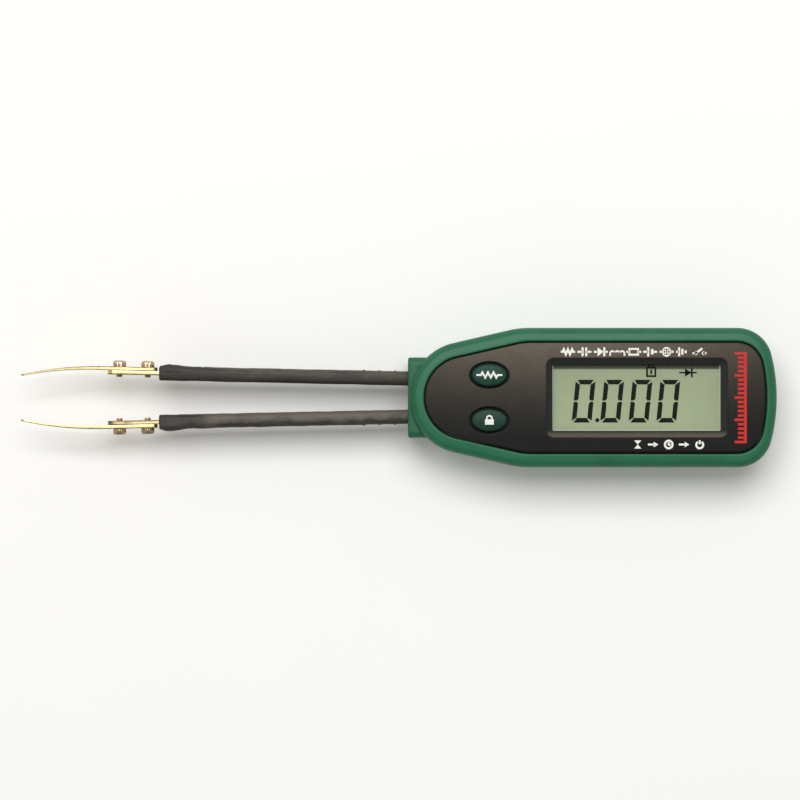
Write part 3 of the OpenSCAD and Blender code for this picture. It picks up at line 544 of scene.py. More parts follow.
def plate_finish(name, base, painted_reflection):
    """Satin faceplate: nearly black at one long edge, with a painted brownish reflection that grows towards the
    other with a power of the distance, strongest in front of the display; fine grain and a soft cloudiness. The
    frame's walls and the plate's rounded edge take the dark colour five and a half times brighter, and the wall on
    the hold button's side has a painted pool of light down to its foot."""
    finish = Finish(name, Specular_IOR_Level=0.10)
    cloud = finish.noise(4.0, 5.0, 0.66)
    speck = finish.noise(0.38, 3.0, 0.7)
    height = finish.axis(Z)
    across = finish.axis(Y)
    # Painted reflection: a brownish colour that grows towards the function button's side, the lamp's side
    rise = finish.span(across + 5.0 * (cloud - 0.5), -13.0, 12.4) ** 2.1
    far = finish.away(finish.axis(X) - 36.0) * (1 / 52)
    top = finish.span(height, PLATE_TOP - 0.22, PLATE_TOP - 0.04)
    face = finish.blend(rise * (1 - 0.55 * far * far), base, painted_reflection)
    # Painted light: the frame's wall on the hold button's side, which faces the lamp, is painted lighter down to
    # its foot
    foot = finish.span(across + 0.6 * (cloud - 0.5), -8.9, -7.9, 1.0, 0.0)
    foot = foot * finish.span(height, PLATE_LOW - 0.1, PLATE_LOW + 0.2)
    lit = foot * finish.span(finish.away(across), 10.4, 11.2, 1.0, 0.0)
    body = finish.blend(top, finish.blend(lit, shade(base, 5.5), shade(painted_reflection, 0.9)), face)
    return finish.set(
        Base_Color=finish.flecks(speck, 0.34, 0.66, 0.36, body, shade(base, 1.2)),
        Roughness=0.48 + 0.14 * (cloud - 0.5) + 0.12 * (speck - 0.5),
        Normal=finish.relief(speck, 0.02, 0.5),
    )


def metal(name, base, roughness=0.26, grain=(0.25, 6.0), depth=0.006, tarnish=0.25):
    """Drawn or stamped metal: fine lines along one axis, soft stains, and light relief."""
    finish = Finish(name, Metallic=1.0)
    lines = finish.noise(grain[0], 3.0, 0.6, stretch=(grain[0] / grain[1], 1, 1))
    stain = finish.noise(2.4, 4.0, 0.62, warp=0.6)
    return finish.set(
        Base_Color=finish.flecks(stain, 0.38, 0.72, tarnish, base, shade(base, 0.45)),
        Roughness=roughness + 0.14 * (lines - 0.5) + 0.16 * (stain - 0.5),
        Normal=finish.relief(lines, depth, 0.4),
    )


def printed(name, base):
    """Screen-printed ink: slightly uneven cover and a dull face."""
    finish = Finish(name, Specular_IOR_Level=0.3)
    cover = finish.noise(0.22, 3.0, 0.6)
    return finish.set(
        Base_Color=finish.flecks(cover, 0.3, 0.75, 0.3, base, shade(base, 0.72)),
        Roughness=0.5 + 0.2 * (cover - 0.5),
        Normal=finish.relief(cover, 0.01, 0.3),
    )


def sleeve_finish(name, base, dry):
    """Black shrink sleeve: lengthwise streaks, faint pits, and a brownish bloom in patches, which grows with how
    dry the sleeve is and is painted strongest where the stored value is 1, on the sleeve's side towards the lamp,
    as painted light."""
    finish = Finish(name, Specular_IOR_Level=0.3)
    streak = finish.noise(0.8, 4.0, 0.65, stretch=(0.07, 1, 1), warp=0.2)
    pit = finish.noise(0.25, 3.0, 0.6)
    bloom = finish.noise(5.0, 5.0, 0.62, stretch=(0.5, 1, 1), warp=0.5)
    dull = finish.blend(finish.span(streak, 0.34, 0.66), shade(base, 0.7), shade(base, 1.35))
    # Painted light: the pale patches gather on the side towards the lamp, where the stored value is high
    patch = bloom + 0.5 * (finish.stored("rub") - 0.5) + 0.3 * (streak - 0.5)
    return finish.set(
        Base_Color=finish.flecks(patch, 0.56 - 0.2 * dry, 0.93 - 0.31 * dry, 0.4 + 0.3 * dry, dull,
                                 (0.165, 0.142, 0.118)),
        Roughness=0.56 + 0.18 * (streak - 0.5) + 0.12 * (bloom - 0.5),
        Normal=finish.relief(0.65 * streak + 0.35 * pit, 0.07, 0.6),
    )


def plated(name, base, dark, roughness):
    """Gold plating on a stamped part: lines along it, a painted brown shade along its edges, where the stored tone
    is 1, and slightly uneven all over."""
    finish = Finish(name, Metallic=1.0)
    lines = finish.noise(0.2, 3.0, 0.6, stretch=(0.05, 1, 1))
    cloud = finish.noise(1.6, 3.0, 0.6, warp=0.4)
    # Painted shade along the edges, where the stored tone is high
    shade_and_tone = finish.span(finish.stored("edge") + 0.7 * (cloud - 0.5), 0.35, 0.9)
    even = finish.flecks(cloud, 0.35, 0.7, 0.35, base, shade(base, 0.7))
    return finish.set(
        Base_Color=finish.blend(shade_and_tone, even, dark),
        Roughness=roughness + 0.12 * (lines - 0.5) + 0.18 * shade_and_tone,
        Normal=finish.relief(lines, 0.01, 0.35),
    )


def display_finish(name, base):
    """Unlit reflective display: a silky grain, fine electrode lines, a slightly paler lower half, a painted shadow
    of the frame along its upper edge, and a painted highlight along its sides and lower edge, where the polished
    edges catch the light."""
    finish = Finish(name, Specular_IOR_Level=0.2)
    silk = finish.noise(0.3, 3.0, 0.6)
    cloud = finish.noise(9.0, 3.0, 0.55)
    line = finish.noise(0.5, 1.0, 0.5, stretch=(1, 0.02, 0.02))
    across = finish.axis(Y)
    half_x, half_y = VIEW[0] / 2, VIEW[1] / 2
    tint = finish.blend(finish.span(cloud + 0.05 * across, 0.1, 0.9), shade(base, 1.10), shade(base, 0.93))
    grain = finish.flecks(0.6 * silk + 0.4 * line, 0.3, 0.7, 0.2, tint, shade(base, 0.76))
    # Painted shadow of the frame over the display's upper edge
    shaded = finish.blend(finish.span(across, half_y - 1.3, half_y - 0.95), grain, shade(base, 0.15))
    # Painted highlight along the sides and the lower edge, where the polished glass edges catch the light
    edge = finish.maths(
        "MAXIMUM",
        finish.span(finish.away(finish.axis(X) - VIEW_X), half_x - 0.34, half_x - 0.24),
        finish.span(0.0 - across, half_y - 0.32, half_y - 0.22),
    )
    return finish.set(
        Base_Color=finish.blend(edge * 0.8, shaded, (0.74, 0.76, 0.62)),
        Roughness=0.34 + 0.1 * silk,
    )


def clear_pane(name):
    """Clear window: nearly invisible from straight in front, with a gloss on its faces."""
    finish = Finish(name, Base_Color=(0.01, 0.012, 0.01), Alpha=0.06, Specular_IOR_Level=0.16)
    smear = finish.noise(6.0, 3.0, 0.6)
    return finish.set(Roughness=0.03 + 0.05 * smear)


def layered(name, light, dark):
    """Contact rubber: thin dark and light layers one after another along the strip."""
    finish = Finish(name, Specular_IOR_Level=0.3)
    wave = finish.maths("SINE", finish.axis(X) * (2 * math.pi / 0.36))
    cloud = finish.noise(1.5, 2.0)
    return finish.set(
        Base_Color=finish.blend(finish.span(wave, -0.2, 0.2), light, dark),
        Roughness=0.55 + 0.15 * (cloud - 0.5),
    )


def board_finish(name, base):
    """Circuit board: solder mask over glass cloth, with paler copper areas showing through."""
    finish = Finish(name, Specular_IOR_Level=0.5)
    cloth = finish.noise(0.5, 2.0, stretch=(1, 0.2, 1))
    copper = finish.add("ShaderNodeTexVoronoi", {"feature": "F1", "distance": "CHEBYCHEV"}, {
        "Vector": finish.place(), "Scale": 0.22,
    }, out="Color")
    area = finish.add("ShaderNodeSeparateXYZ", None, {0: copper})
    return finish.set(
        Base_Color=finish.blend(finish.span(area, 0.45, 0.5), shade(base, 0.8), shade(base, 1.5)),
        Roughness=0.3 + 0.12 * cloth,
        Normal=finish.relief(cloth, 0.02, 0.4),
    )


def front_shadow(finish):
    """Slight darkening of the case at its nose: it grows with the distance from the nose's middle,
    and fades out behind the collar."""
    along = finish.axis(X)
    spot = finish.add("ShaderNodeCombineXYZ", None, {0: along - (BODY[0] + BODY[1]), 1: finish.axis(Y)})
    away = finish.add("ShaderNodeVectorMath", {"operation": "LENGTH"}, {0: spot}, out="Value")
    return finish.span(away, BODY[1] - 1.5, BODY[1] - 0.9, 0.0, 0.14) * finish.span(along, 4.5, 9.0, 1.0, 0.0)


def cap_shadow(finish):
    """Dark side of a button's cap below its rounded edge."""
    return finish.span(finish.axis(Z), 19.66, 19.98, 1.0, 0.0)


# ---------------------------------------------------------------- case

def rim_surface(sizes):
    """Upper case half without its collar: one closed section carried round the body. Outside it
    follows the body's outline and the rim's rounding, inside the faceplate's outline, and between
    them the rim's top keeps the height that the rounding has at that distance from the edge."""
    body, plate = pod(*BODY), pod(*PLATE)
    radius, bevel, lip = mm(sizes.rim_round), mm(sizes.seam_bevel), mm(sizes.lip_round)

    def rim_height(inset):
        apart = ((body[:, :2] - moved_in(plate, inset)) * body[:, 2:]).sum(axis=1)
        short = np.clip(radius - apart, 0, radius)
        return TOP - radius + np.sqrt(radius ** 2 - short ** 2)

    reach = math.degrees(math.acos(1 - 1.6 / radius))
    rings = list(profile(body, [(bevel, SEAM), (0, SEAM + bevel)] + fillet(radius, TOP, True, 12, reach)))
    rings.append(level(plate, -GROOVE - 2 * lip, rim_height(-GROOVE - 2 * lip)))
    for turn in np.radians(np.linspace(0, 90, 6)):
        inset = -GROOVE - lip * (1 - math.sin(turn))
        rings.append(level(plate, inset, rim_height(inset) - lip * (1 - math.cos(turn))))
    rings.append(level(plate, -GROOVE, PLATE_LOW + 0.05))
    rings += list(profile(body, [(WALL, PLATE_LOW + 0.05), (WALL, SEAM)]))
    return skin(np.stack(rings), loop=True)


def collar_surface(sizes, up):
    """Half of the collar: its rounded half section in Y and Z, carried along X, with a rounded
    front edge. The lower half is the upper one turned over."""
    radius, bevel, front = mm(sizes.collar_round), mm(sizes.seam_bevel), 0.5
    side, height = COLLAR_HALF, COLLAR_TOP - SEAM
    section = np.vstack([
        [[side - bevel, 0, 1, 0], [side, bevel, 1, 0]],
        arc((side - radius, height - radius), radius, 0, 90, 8),
        arc((radius - side, height - radius), radius, 90, 180, 8),
        [[-side, bevel, -1, 0], [bevel - side, 0, -1, 0]],
    ])
    rings = []
    for turn in np.radians(np.arange(0, 91, 15)):
        flat = moved_in(section, front * (1 - math.sin(turn)))
        rings.append(np.column_stack([np.full(len(flat), COLLAR_FRONT + front * (1 - math.cos(turn))), flat]))
    rings.append(rings[-1] + [COLLAR_REAR - COLLAR_FRONT - front, 0, 0])
    return carried(skin(rings), np.diag([1, 1, 1 if up else -1]), (0, 0, SEAM))


def arm_openings():
    """The two holes that the sleeves come through: the sleeve's section with its clearance,
    carried along the arm and flared at the collar's face."""
    hole = rounded(SLEEVE_WIDE + 0.7, SLEEVE_HIGH + 0.7, 1.65)
    rings = [
        np.column_stack([np.full(len(hole), x), moved_in(hole, -grow)])
        for x, grow in ((-6.0, 0.95), (-4.85, 0.0), (7.5, 0.0))
    ]
    return together([on_arm(skin(rings), side) for side in (RIGHT, LEFT)])


def top_case_mesh(sizes):
    """Upper case half with its collar, and the holes for the arms cut away."""
    return shaped(rim_surface(sizes), [collar_surface(sizes, True)], [arm_openings()])


def bottom_case_mesh(sizes):
    """Lower case half: a bowl whose outside follows the back's rounding, with the collar, the
    screw posts, the cell's cup and the pegs added, and the recesses of the back cut away."""
    bevel = mm(sizes.seam_bevel)
    bowl = skin(profile(pod(*BODY), fillet(mm(sizes.back_round), 0, False, 12) + [
        (0, SEAM - bevel), (bevel, SEAM), (WALL, SEAM), (WALL, BOWL_FLOOR)
    ]))
    foot = BOWL_FLOOR - 0.1
    inside = [rod(x, y, 2.5, 1.0, SEAM - 0.02) for x, y in POSTS] + [rod(x, 0, 1.0, foot, 5.0) for x in PEGS]
    cup, boss = rod(CELL_X, 0, 11.5, foot, 4.5), rod(COVER_SCREW_X, 0, 2.1, foot, 4.5)

    def recess(outline, depth, edge=0.15):
        return skin(profile(outline, [(-edge - 0.1, -0.1), (-edge, 0), (0, edge), (0, depth)]))

    heads = [recess(ellipse(4.2, 4.2, place, 48), SEAT) for place in POSTS]
    shanks = [rod(x, y, 1.3, SEAT - 0.1, SEAM + 0.1) for x, y in POSTS]
    return shaped(bowl, [collar_surface(sizes, False), together(inside), cup, boss], [
        arm_openings(), together(heads), together(shanks), recess(grown(COVER, 0.3), 1.25),
        recess(grown(LABEL, 0.3), 0.35, 0.08), rod(CELL_X, 0, 10.3, 1.0, 4.6, 72),
        rod(COVER_SCREW_X, 0, 0.93, 1.0, 3.9),
    ])


def cover_mesh():
    """Battery cover: a bevelled plate with a sunk screw hole and four finger grooves."""
    long, wide, radius, middle = COVER
    sink = skin(profile(ellipse(3.6, 3.6, (COVER_SCREW_X, 0), 48), [
        (-0.2, -0.1), (-0.12, 0.02), (0, 0.17), (0, COVER_SEAT)
    ]))
    rear = middle[0] + long / 2 - radius
    grooves = [slab(rounded(0.7, wide / 2, 0.34, (rear - 1.6 * k, 0)), -0.2, 0.4) for k in (1, 2, 3, 4)]
    return shaped(slab(rounded(*COVER), 0.05, 1.2, 0.12), cut=[
        sink, rod(COVER_SCREW_X, 0, 1.1, 0.5, 1.4), together(grooves)
    ])


def screw_surface(head_r, head_h, shank_r, shank_l, flutes=0, pitch=0.0):
    """Screw with its seat at the origin and its head along +Z: a lathe profile for the domed head
    and the shank, whose radius swings with the thread's pitch. The flutes make the head's side
    ripple round the axis."""
    head = [(head_r * r, head_h * z) for r, z in (
        (0.55, 1.0), (0.78, 0.96), (0.9, 0.88), (0.97, 0.76), (1.0, 0.6), (1.0, 0.12), (0.96, 0.0)
    )]
    count = max(int(2 * shank_l / pitch), 2) if pitch else 2
    shank = [
        (shank_r * (0.88 if pitch and k % 2 else 1.0), -shank_l * k / count) for k in range(count)
    ] + [(shank_r * 0.9, -shank_l + 0.1), (shank_r * 0.72, -shank_l)]
    points, faces = lathe(head + shank, 96 if flutes else 40)
    if flutes:
        turn = np.arctan2(points[:, 1], points[:, 0])
        side = (points[:, 2] > 0.02 * head_h) & (points[:, 2] < 0.9 * head_h)
        points = points.copy()
        points[:, :2] *= np.where(side, 1 - 0.07 * (0.5 + 0.5 * np.cos(flutes * turn)), 1.0)[:, None]
    return points, faces


def crossed(head_r, head_h):
    """Cross recess of a screw: two tapered bars through the top of the head."""
    bars = []
    for long, wide in ((1.24, 0.24), (0.24, 1.24)):
        top = rounded(long * head_r, wide * head_r, 0.08 * head_r, steps=3)
        bars.append(skin(profile(top, [(0.06 * head_r, 0.45 * head_h), (0, 1.1 * head_h)])))
    return bars


def screw_mesh(places, head_r, head_h, shank_r, shank_l, flutes=0, pitch=0.0):
    """Screws at several places, each given by its (matrix, move, side of the arm or 0)."""
    mesh = shaped(screw_surface(head_r, head_h, shank_r, shank_l, flutes, pitch), cut=crossed(head_r, head_h))
    points = np.empty(len(mesh.vertices) * 3)
    mesh.vertices.foreach_get("co", points)
    points = points.reshape(-1, 3) * 1000
    loops = {}
    for polygon in mesh.polygons:
        loops.setdefault(len(polygon.vertices), []).append(tuple(polygon.vertices))
    faces = [np.array(block) for block in loops.values()]
    bpy.data.meshes.remove(mesh)
    solids = []
    for matrix, move, side in places:
        solid = carried((points, faces), matrix, move)
        solids.append(on_arm(solid, side) if side else solid)
    return together(solids)


DOWN = np.diag([1, -1, -1])
SIDEWAYS = np.array([[1, 0, 0], [0, 0, 1], [0, -1, 0]])


# ---------------------------------------------------------------- faceplate, buttons and display

def view_outline(grow):
    """The display opening, moved outwards on all sides."""
    length_x, width_y, radius, centre = VIEW
    return rounded(length_x + 2 * grow, width_y + 2 * grow, radius + grow, centre)


def faceplate_mesh(sizes):
    """Faceplate with its flange and the frame round the display. The frame's sides slope in, with a rounded lip at
    the plate and a soft foot at the floor, and the button holes have rounded lips."""
    run, lip = mm(sizes.bezel_run), 0.35
    base = skin(profile(pod(*PLATE), [
        (1.0, PLATE_FLANGE), (-0.35, PLATE_FLANGE), (-0.35, PLATE_LOW), (0, PLATE_LOW)
    ] + fillet(mm(sizes.plate_round), PLATE_TOP, True, 5)))
    wall = slab(view_outline(run + 1.2), LIP_LOW, PLATE_LOW + 0.1)
    slope = [(0, LIP_LOW - 0.2), (0, BEZEL_FLOOR - 0.04), (-0.05, BEZEL_FLOOR + 0.02)]
    rise = PLATE_TOP - BEZEL_FLOOR
    for t in np.linspace(0.12, 0.84, 6):
        slope.append((-run * (t + 0.10 * math.sin(math.pi * t)), BEZEL_FLOOR + rise * t))
    for turn in np.radians(np.linspace(30, 90, 5)):
        slope.append((-(run - 0.18) - lip * (1 - math.cos(turn)), PLATE_TOP - lip * (1 - math.sin(turn))))
    slope.append((-run - 0.5, PLATE_TOP + 0.4))
    sunk = skin(profile(rounded(*VIEW), slope))
    holes = [
        skin(profile(ellipse(CAP[0] + 1.0, CAP[1] + 1.0, (BUTTON[0], side * BUTTON[1])), [
            (0, PLATE_FLANGE - 0.4), (0, PLATE_TOP - 0.22), (-0.06, PLATE_TOP - 0.08), (-0.22, PLATE_TOP),
            (-0.4, PLATE_TOP + 0.1)
        ]))
        for side in (RIGHT, LEFT)
    ]
    return shaped(base, [wall], [sunk, together(holes)])


def cap_surface(sizes, side):
    """Oval cap: straight side with its flange, a rounded edge, and a dome on which the height
    falls with the square of the distance from the middle."""
    middle = np.array([BUTTON[0], side * BUTTON[1]])
    dome = mm(sizes.cap_dome)
    rings = list(profile(ellipse(*CAP, middle), [
        (0, CAP_LOW), (0, 16.75), (-0.8, 16.75), (-0.8, 17.45), (0, 17.45)
    ] + fillet(CAP_EDGE, CAP_TOP - dome, True, 8)))
    rim = rings[-1]
    for share in np.linspace(0.9, 0.1, 9):
        flat = middle + share * (rim[:, :2] - middle)
        rings.append(np.column_stack([flat, rim[:, 2] + dome * (1 - share ** 2)]))
    return skin(rings)


def cap_height(sizes, side):
    """Height of a cap's dome over a place in plan."""
    half = np.array(CAP) / 2 - CAP_EDGE

    def height(flat):
        share = (((flat - [BUTTON[0], side * BUTTON[1]]) / half) ** 2).sum(axis=-1)
        return CAP_TOP - mm(sizes.cap_dome) * np.clip(share, 0, 1)
    return height


def level_face(z):
    """Height of a level face over a place in plan."""
    return lambda flat: np.full(len(flat), z)


def stroke(path, width, height, thick=PRINT, loop=False):
    """Printed line: a flat rectangular section carried along a path. Its sides are set off along
    the mitre of the two neighbouring directions, and its height is read from a function of the
    place in plan."""
    path = np.asarray(path, dtype=float)
    if loop:
        before, after = np.roll(path, 1, axis=0), np.roll(path, -1, axis=0)
    else:
        before, after = np.vstack([path[:1], path[:-1]]), np.vstack([path[1:], path[-1:]])
    into, out = path - before, after - path
    into[np.all(into == 0, axis=1)] = out[np.all(into == 0, axis=1)]
    out[np.all(out == 0, axis=1)] = into[np.all(out == 0, axis=1)]
    into /= np.linalg.norm(into, axis=1)[:, None]
    out /= np.linalg.norm(out, axis=1)[:, None]
    bisector = into + out
    bisector /= np.linalg.norm(bisector, axis=1)[:, None]
    across = np.column_stack([-bisector[:, 1], bisector[:, 0]])
    lean = np.clip((across * np.column_stack([-into[:, 1], into[:, 0]])).sum(axis=1), 0.36, 1)
    reach = (width / 2 / lean)[:, None] * across
    left, right = path + reach, path - reach

    def lifted(flat, rise):
        return np.column_stack([flat, height(flat) + rise])
    sides = [lifted(left, -SUNK), lifted(right, -SUNK), lifted(right, thick), lifted(left, thick)]
    return skin(np.stack(sides, axis=1), loop=loop)


def fine(path, step=0.25):
    """The path with points between its corners, at most a step apart, so that it can follow a
    curved face."""
    path = np.asarray(path, dtype=float)
    run = np.concatenate([[0], np.cumsum(np.linalg.norm(np.diff(path, axis=0), axis=1))])
    at = np.unique(np.concatenate([run, np.arange(0, run[-1], step)]).round(6))
    return np.column_stack([np.interp(at, run, path[:, k]) for k in (0, 1)])


def patch(corners, height):
    """Printed field: a flat prism on a convex outline."""
    return skin([np.column_stack([corners, height(corners) + rise]) for rise in (-SUNK, PRINT)])


def circle(x, y, radius, start=0, end=360, steps=28):
    """Points of a circle or of part of one."""
    closed = end - start == 360
    turn = np.radians(np.linspace(start, end, steps + 1)[:-1 if closed else None])
    return np.column_stack([x + radius * np.cos(turn), y + radius * np.sin(turn)])


def signs(x, y, pitch, line, height, kinds, grow=(1.0, 1.0)):
    """Row of signs at a pitch. Each kind is a list of (stroke or patch, path, and a share of the
    line's width) about its own middle, in millimetres, which may be grown in X and Y."""
    marks = []
    for k, kind in enumerate(kinds):
        for drawn, path, *share in kind:
            spot = np.asarray(path, dtype=float) * grow + [x + (k + 0.5) * pitch, y]
            marks.append(patch(spot, height) if drawn == "field" else stroke(
                spot, line * (share[0] if share else 1), height, loop=drawn == "ring"))
    return marks


def symbol_row(x, y, pitch, line, height):
    """Row of circuit signs for what a tester measures: resistor, capacitor, diode, coil, fuse,
    cell, lamp, earth and switch."""
    def upright(u, reach):
        return "line", [(u, -reach), (u, reach)]

    def along(start, end, v=0.0):
        return "line", [(start, v), (end, v)]

    def leads(inner, outer=1.6):
        return [along(outer, inner), along(-outer, -inner)]

    zig = [(-0.95 + 0.475 * k, 0.52 * (-1) ** k) for k in range(5)]
    humps = [("line", circle(1.1 * k, -0.4, 0.55, 180, 0, 12), 0.85) for k in (-1, 0, 1)]
    feet = [("line", [(s * 1.65, -0.35), (s * 1.65, -0.85)], 0.85) for s in (1, -1)]
    cross = [("line", [(-0.6 * s, -0.6), (0.6 * s, 0.6)], 0.6) for s in (1, -1)]
    contacts = [("field", circle(u, -0.3, 0.38, steps=14)) for u in (-0.8, 0.9)]
    return signs(x, y, pitch, line, height, [
        [("line", [(-1.65, 0), (-1.2, 0), *zig, (1.2, 0), (1.65, 0)])],
        [upright(-0.42, 0.95), upright(0.42, 0.95), *leads(0.42)],
        [("field", [(-0.75, 0.95), (-0.75, -0.95), (0.62, 0)]), upright(0.8, 0.95), *leads(0.9)],
        humps + feet,
        [("ring", [(-1.0, -0.62), (1.0, -0.62), (1.0, 0.62), (-1.0, 0.62)], 0.9), *leads(1.0, 1.7)],
        [upright(-0.45, 1.0), ("field", [(0.18, -0.58), (0.75, -0.58), (0.75, 0.58), (0.18, 0.58)]),
         along(-1.6, -0.45), along(0.7, 1.6)],
        [("ring", circle(0, 0, 0.85), 0.85), *cross, *leads(0.9)],
        [upright(-0.9, 0.95), upright(-0.15, 0.62), upright(0.6, 0.3), along(-1.6, -0.9)],
        [along(-1.6, -0.8, -0.3), ("line", [(-0.8, -0.3), (0.65, 0.75)]), along(0.8, 1.6, -0.3), *contacts],
    ], (1.04, 1.12))


def rest_marks(x, y, pitch, line, height):
    """Signs for switching off after a rest: hourglass, arrow, clock face, arrow and round switch."""
    arrow = [("line", [(-1.2, 0), (0.2, 0)]), ("field", [(0.1, 0.62), (0.1, -0.62), (1.15, 0)])]
    return signs(x, y, pitch, line, height, [
        [("field", [(-0.8, 0.92), (0, 0), (0.8, 0.92)]), ("field", [(-0.8, -0.92), (0.8, -0.92), (0, 0)])],
        arrow,
        [("ring", circle(0, 0, 0.86)), ("line", [(0, 0.5), (0, 0), (0.42, -0.2)])],
        arrow,
        [("line", circle(0, -0.08, 0.78, 125, 415, 24)), ("line", [(0, 0.05), (0, 0.95)])],
    ], (1.06, 1.06))


def red_scale(x, low, high, width, height, ticks=21):
    """Graduated scale: a rule with bold ticks across it, every fifth one full and the others
    shorter."""
    right = x + width / 2
    marks = [stroke([(right, low), (right, high)], 0.6, height)]
    for k, y in enumerate(np.linspace(low + 0.3, high - 0.3, ticks)):
        reach = width if k % 5 == 0 else 0.7 * width
        marks.append(stroke([(right - 0.3, y), (right - reach, y)], 0.6, height))
    return marks


def zigzag_mark(x, y, height):
    """Resistor symbol on its leads."""
    zig = [(-1.65 + 0.66 * k, 0.62 * (-1) ** k) for k in range(6)]
    path = np.array([(-3.1, 0), (-2.0, 0), *zig, (2.0, 0), (3.1, 0)]) + [x, y]
    return [stroke(fine(path), 0.44, height, DOME_PRINT)]


def lock_mark(x, y, height):
    """Padlock: a body with a bow over it."""
    bow = np.vstack([[[x - 0.62, y + 0.15]], circle(x, y + 0.45, 0.62, 180, 0, 14), [[x + 0.62, y + 0.15]]])
    rows = [fine([(x - 1.05, y + v), (x + 1.05, y + v)]) for v in (-0.84, -0.42, 0.0)]
    return [stroke(row, 0.43, height, DOME_PRINT) for row in rows] + [stroke(bow, 0.36, height, DOME_PRINT)]


def digit_segments(x, y, lit="abcdef"):
    """Seven-segment digit of mitred bars, leaning to the right: each corner moves sideways with
    its height."""
    w, h, thick, gap, cut, mid = 2.38, 5.12, 1.1, 0.09, 0.34, 0.15
    i, j = w - thick, h - thick     # inner edges of the bars, as w and h are their outer ones
    bars = {
        "a": [(-w + cut + gap, h), (w - cut - gap, h), (i - gap, j), (-i + gap, j)],
        "f": [(-w, h - cut - gap), (-i, j - gap), (-i, mid + 0.45), (-i - 0.35, mid), (-w + 0.1, mid),
              (-w, mid + 0.12)],
    }
    bars["b"] = [(-u, v) for u, v in bars["f"]]
    for up, down in (("a", "d"), ("f", "e"), ("b", "c")):
        bars[down] = [(u, -v) for u, v in bars[up]]
    lean = math.tan(math.radians(5.7))
    return [np.array([(x + u + lean * v, y + v) for u, v in bars[name]]) for name in lit]


def display_marks():
    """Everything that the display shows: four digits, the point, a padlock and a diode."""
    height, line, thin = level_face(GLASS_TOP), 0.44, 0.36 / 0.44
    bars = [bar for x in (44.66, 51.5, 58.3, 64.95) for bar in digit_segments(x, -0.85)]
    padlock = [
        ("ring", [(-1, -1.25), (1, -1.25), (1, 0.8), (-1, 0.8)]),
        ("line", [(-0.55, 0.8), (-0.55, 1.6), (0.55, 1.6), (0.55, 0.8)], thin),
        ("line", [(0, -0.75), (0, 0.3)]),
    ]
    diode = [
        ("line", [(-2.2, -0.2), (2.0, -0.2)], thin),
        ("field", [(-0.8, 0.8), (-0.8, -1.2), (0.75, -0.2)]),
        ("line", [(0.85, -1.35), (0.85, 0.95)]),
    ]
    return together([
        *[patch(corners, height) for corners in [*bars, circle(47.95, -5.4, 0.5, steps=16)]],
        *signs(60.85, 6.4, 0, line, height, [padlock]),
        *signs(69.75, 6.2, 0, line, height, [diode]),
    ])


# ---------------------------------------------------------------- arms

def resampled(outline, count):
    """The outline with evenly spaced points: its length is divided, and places and normals are
    read off along it."""
    closed = np.vstack([outline, outline[:1]])
    run = np.concatenate([[0], np.cumsum(np.linalg.norm(np.diff(closed[:, :2], axis=0), axis=1))])
    at = np.arange(count) * run[-1] / count
    even = np.column_stack([np.interp(at, run, closed[:, k]) for k in range(4)])
    even[:, 2:] /= np.linalg.norm(even[:, 2:], axis=1)[:, None]
    return even


def bell(value, middle, front, back=None):
    """Smooth hump of height 1, with its own width on either side of the middle."""
    width = np.where(value < middle, front, front if back is None else back)
    return np.exp(-((value - middle) / width) ** 2)


def arm_mesh(name, rings, side, label, values):
    """Mesh over rings that are given in an arm's own frame. A number is stored for each of its
    points under a label, which a finish reads. The middle of each end takes the mean of its ring."""
    mesh = mesh_of(name, on_arm(skin(rings), side))
    stored = np.concatenate([values.ravel(), values.mean(axis=1)[[0, -1]]])
    mesh.attributes.new(label, "FLOAT", "POINT").data.foreach_set("value", stored.astype(np.float32))
    return mesh


# Creases of each sleeve: place along the arm, lean, depth share and width
CREASES = {
    RIGHT: ((-62.9, 0.25, 1.0, 0.32), (-60.4, -0.5, 1.1, 0.36), (-58.3, 0.35, 0.8, 0.3), (-55.6, 0.2, 1.1, 0.34),
            (-52.3, -0.3, 0.6, 0.4), (-36.0, 0.15, 0.35, 0.5), (-21.0, -0.2, 0.3, 0.5)),
    LEFT: ((-62.6, -0.3, 0.9, 0.34), (-59.6, 0.45, 0.8, 0.4), (-56.9, -0.2, 0.7, 0.36), (-44.0, 0.2, 0.35, 0.5),
           (-28.0, -0.15, 0.3, 0.5)),
}


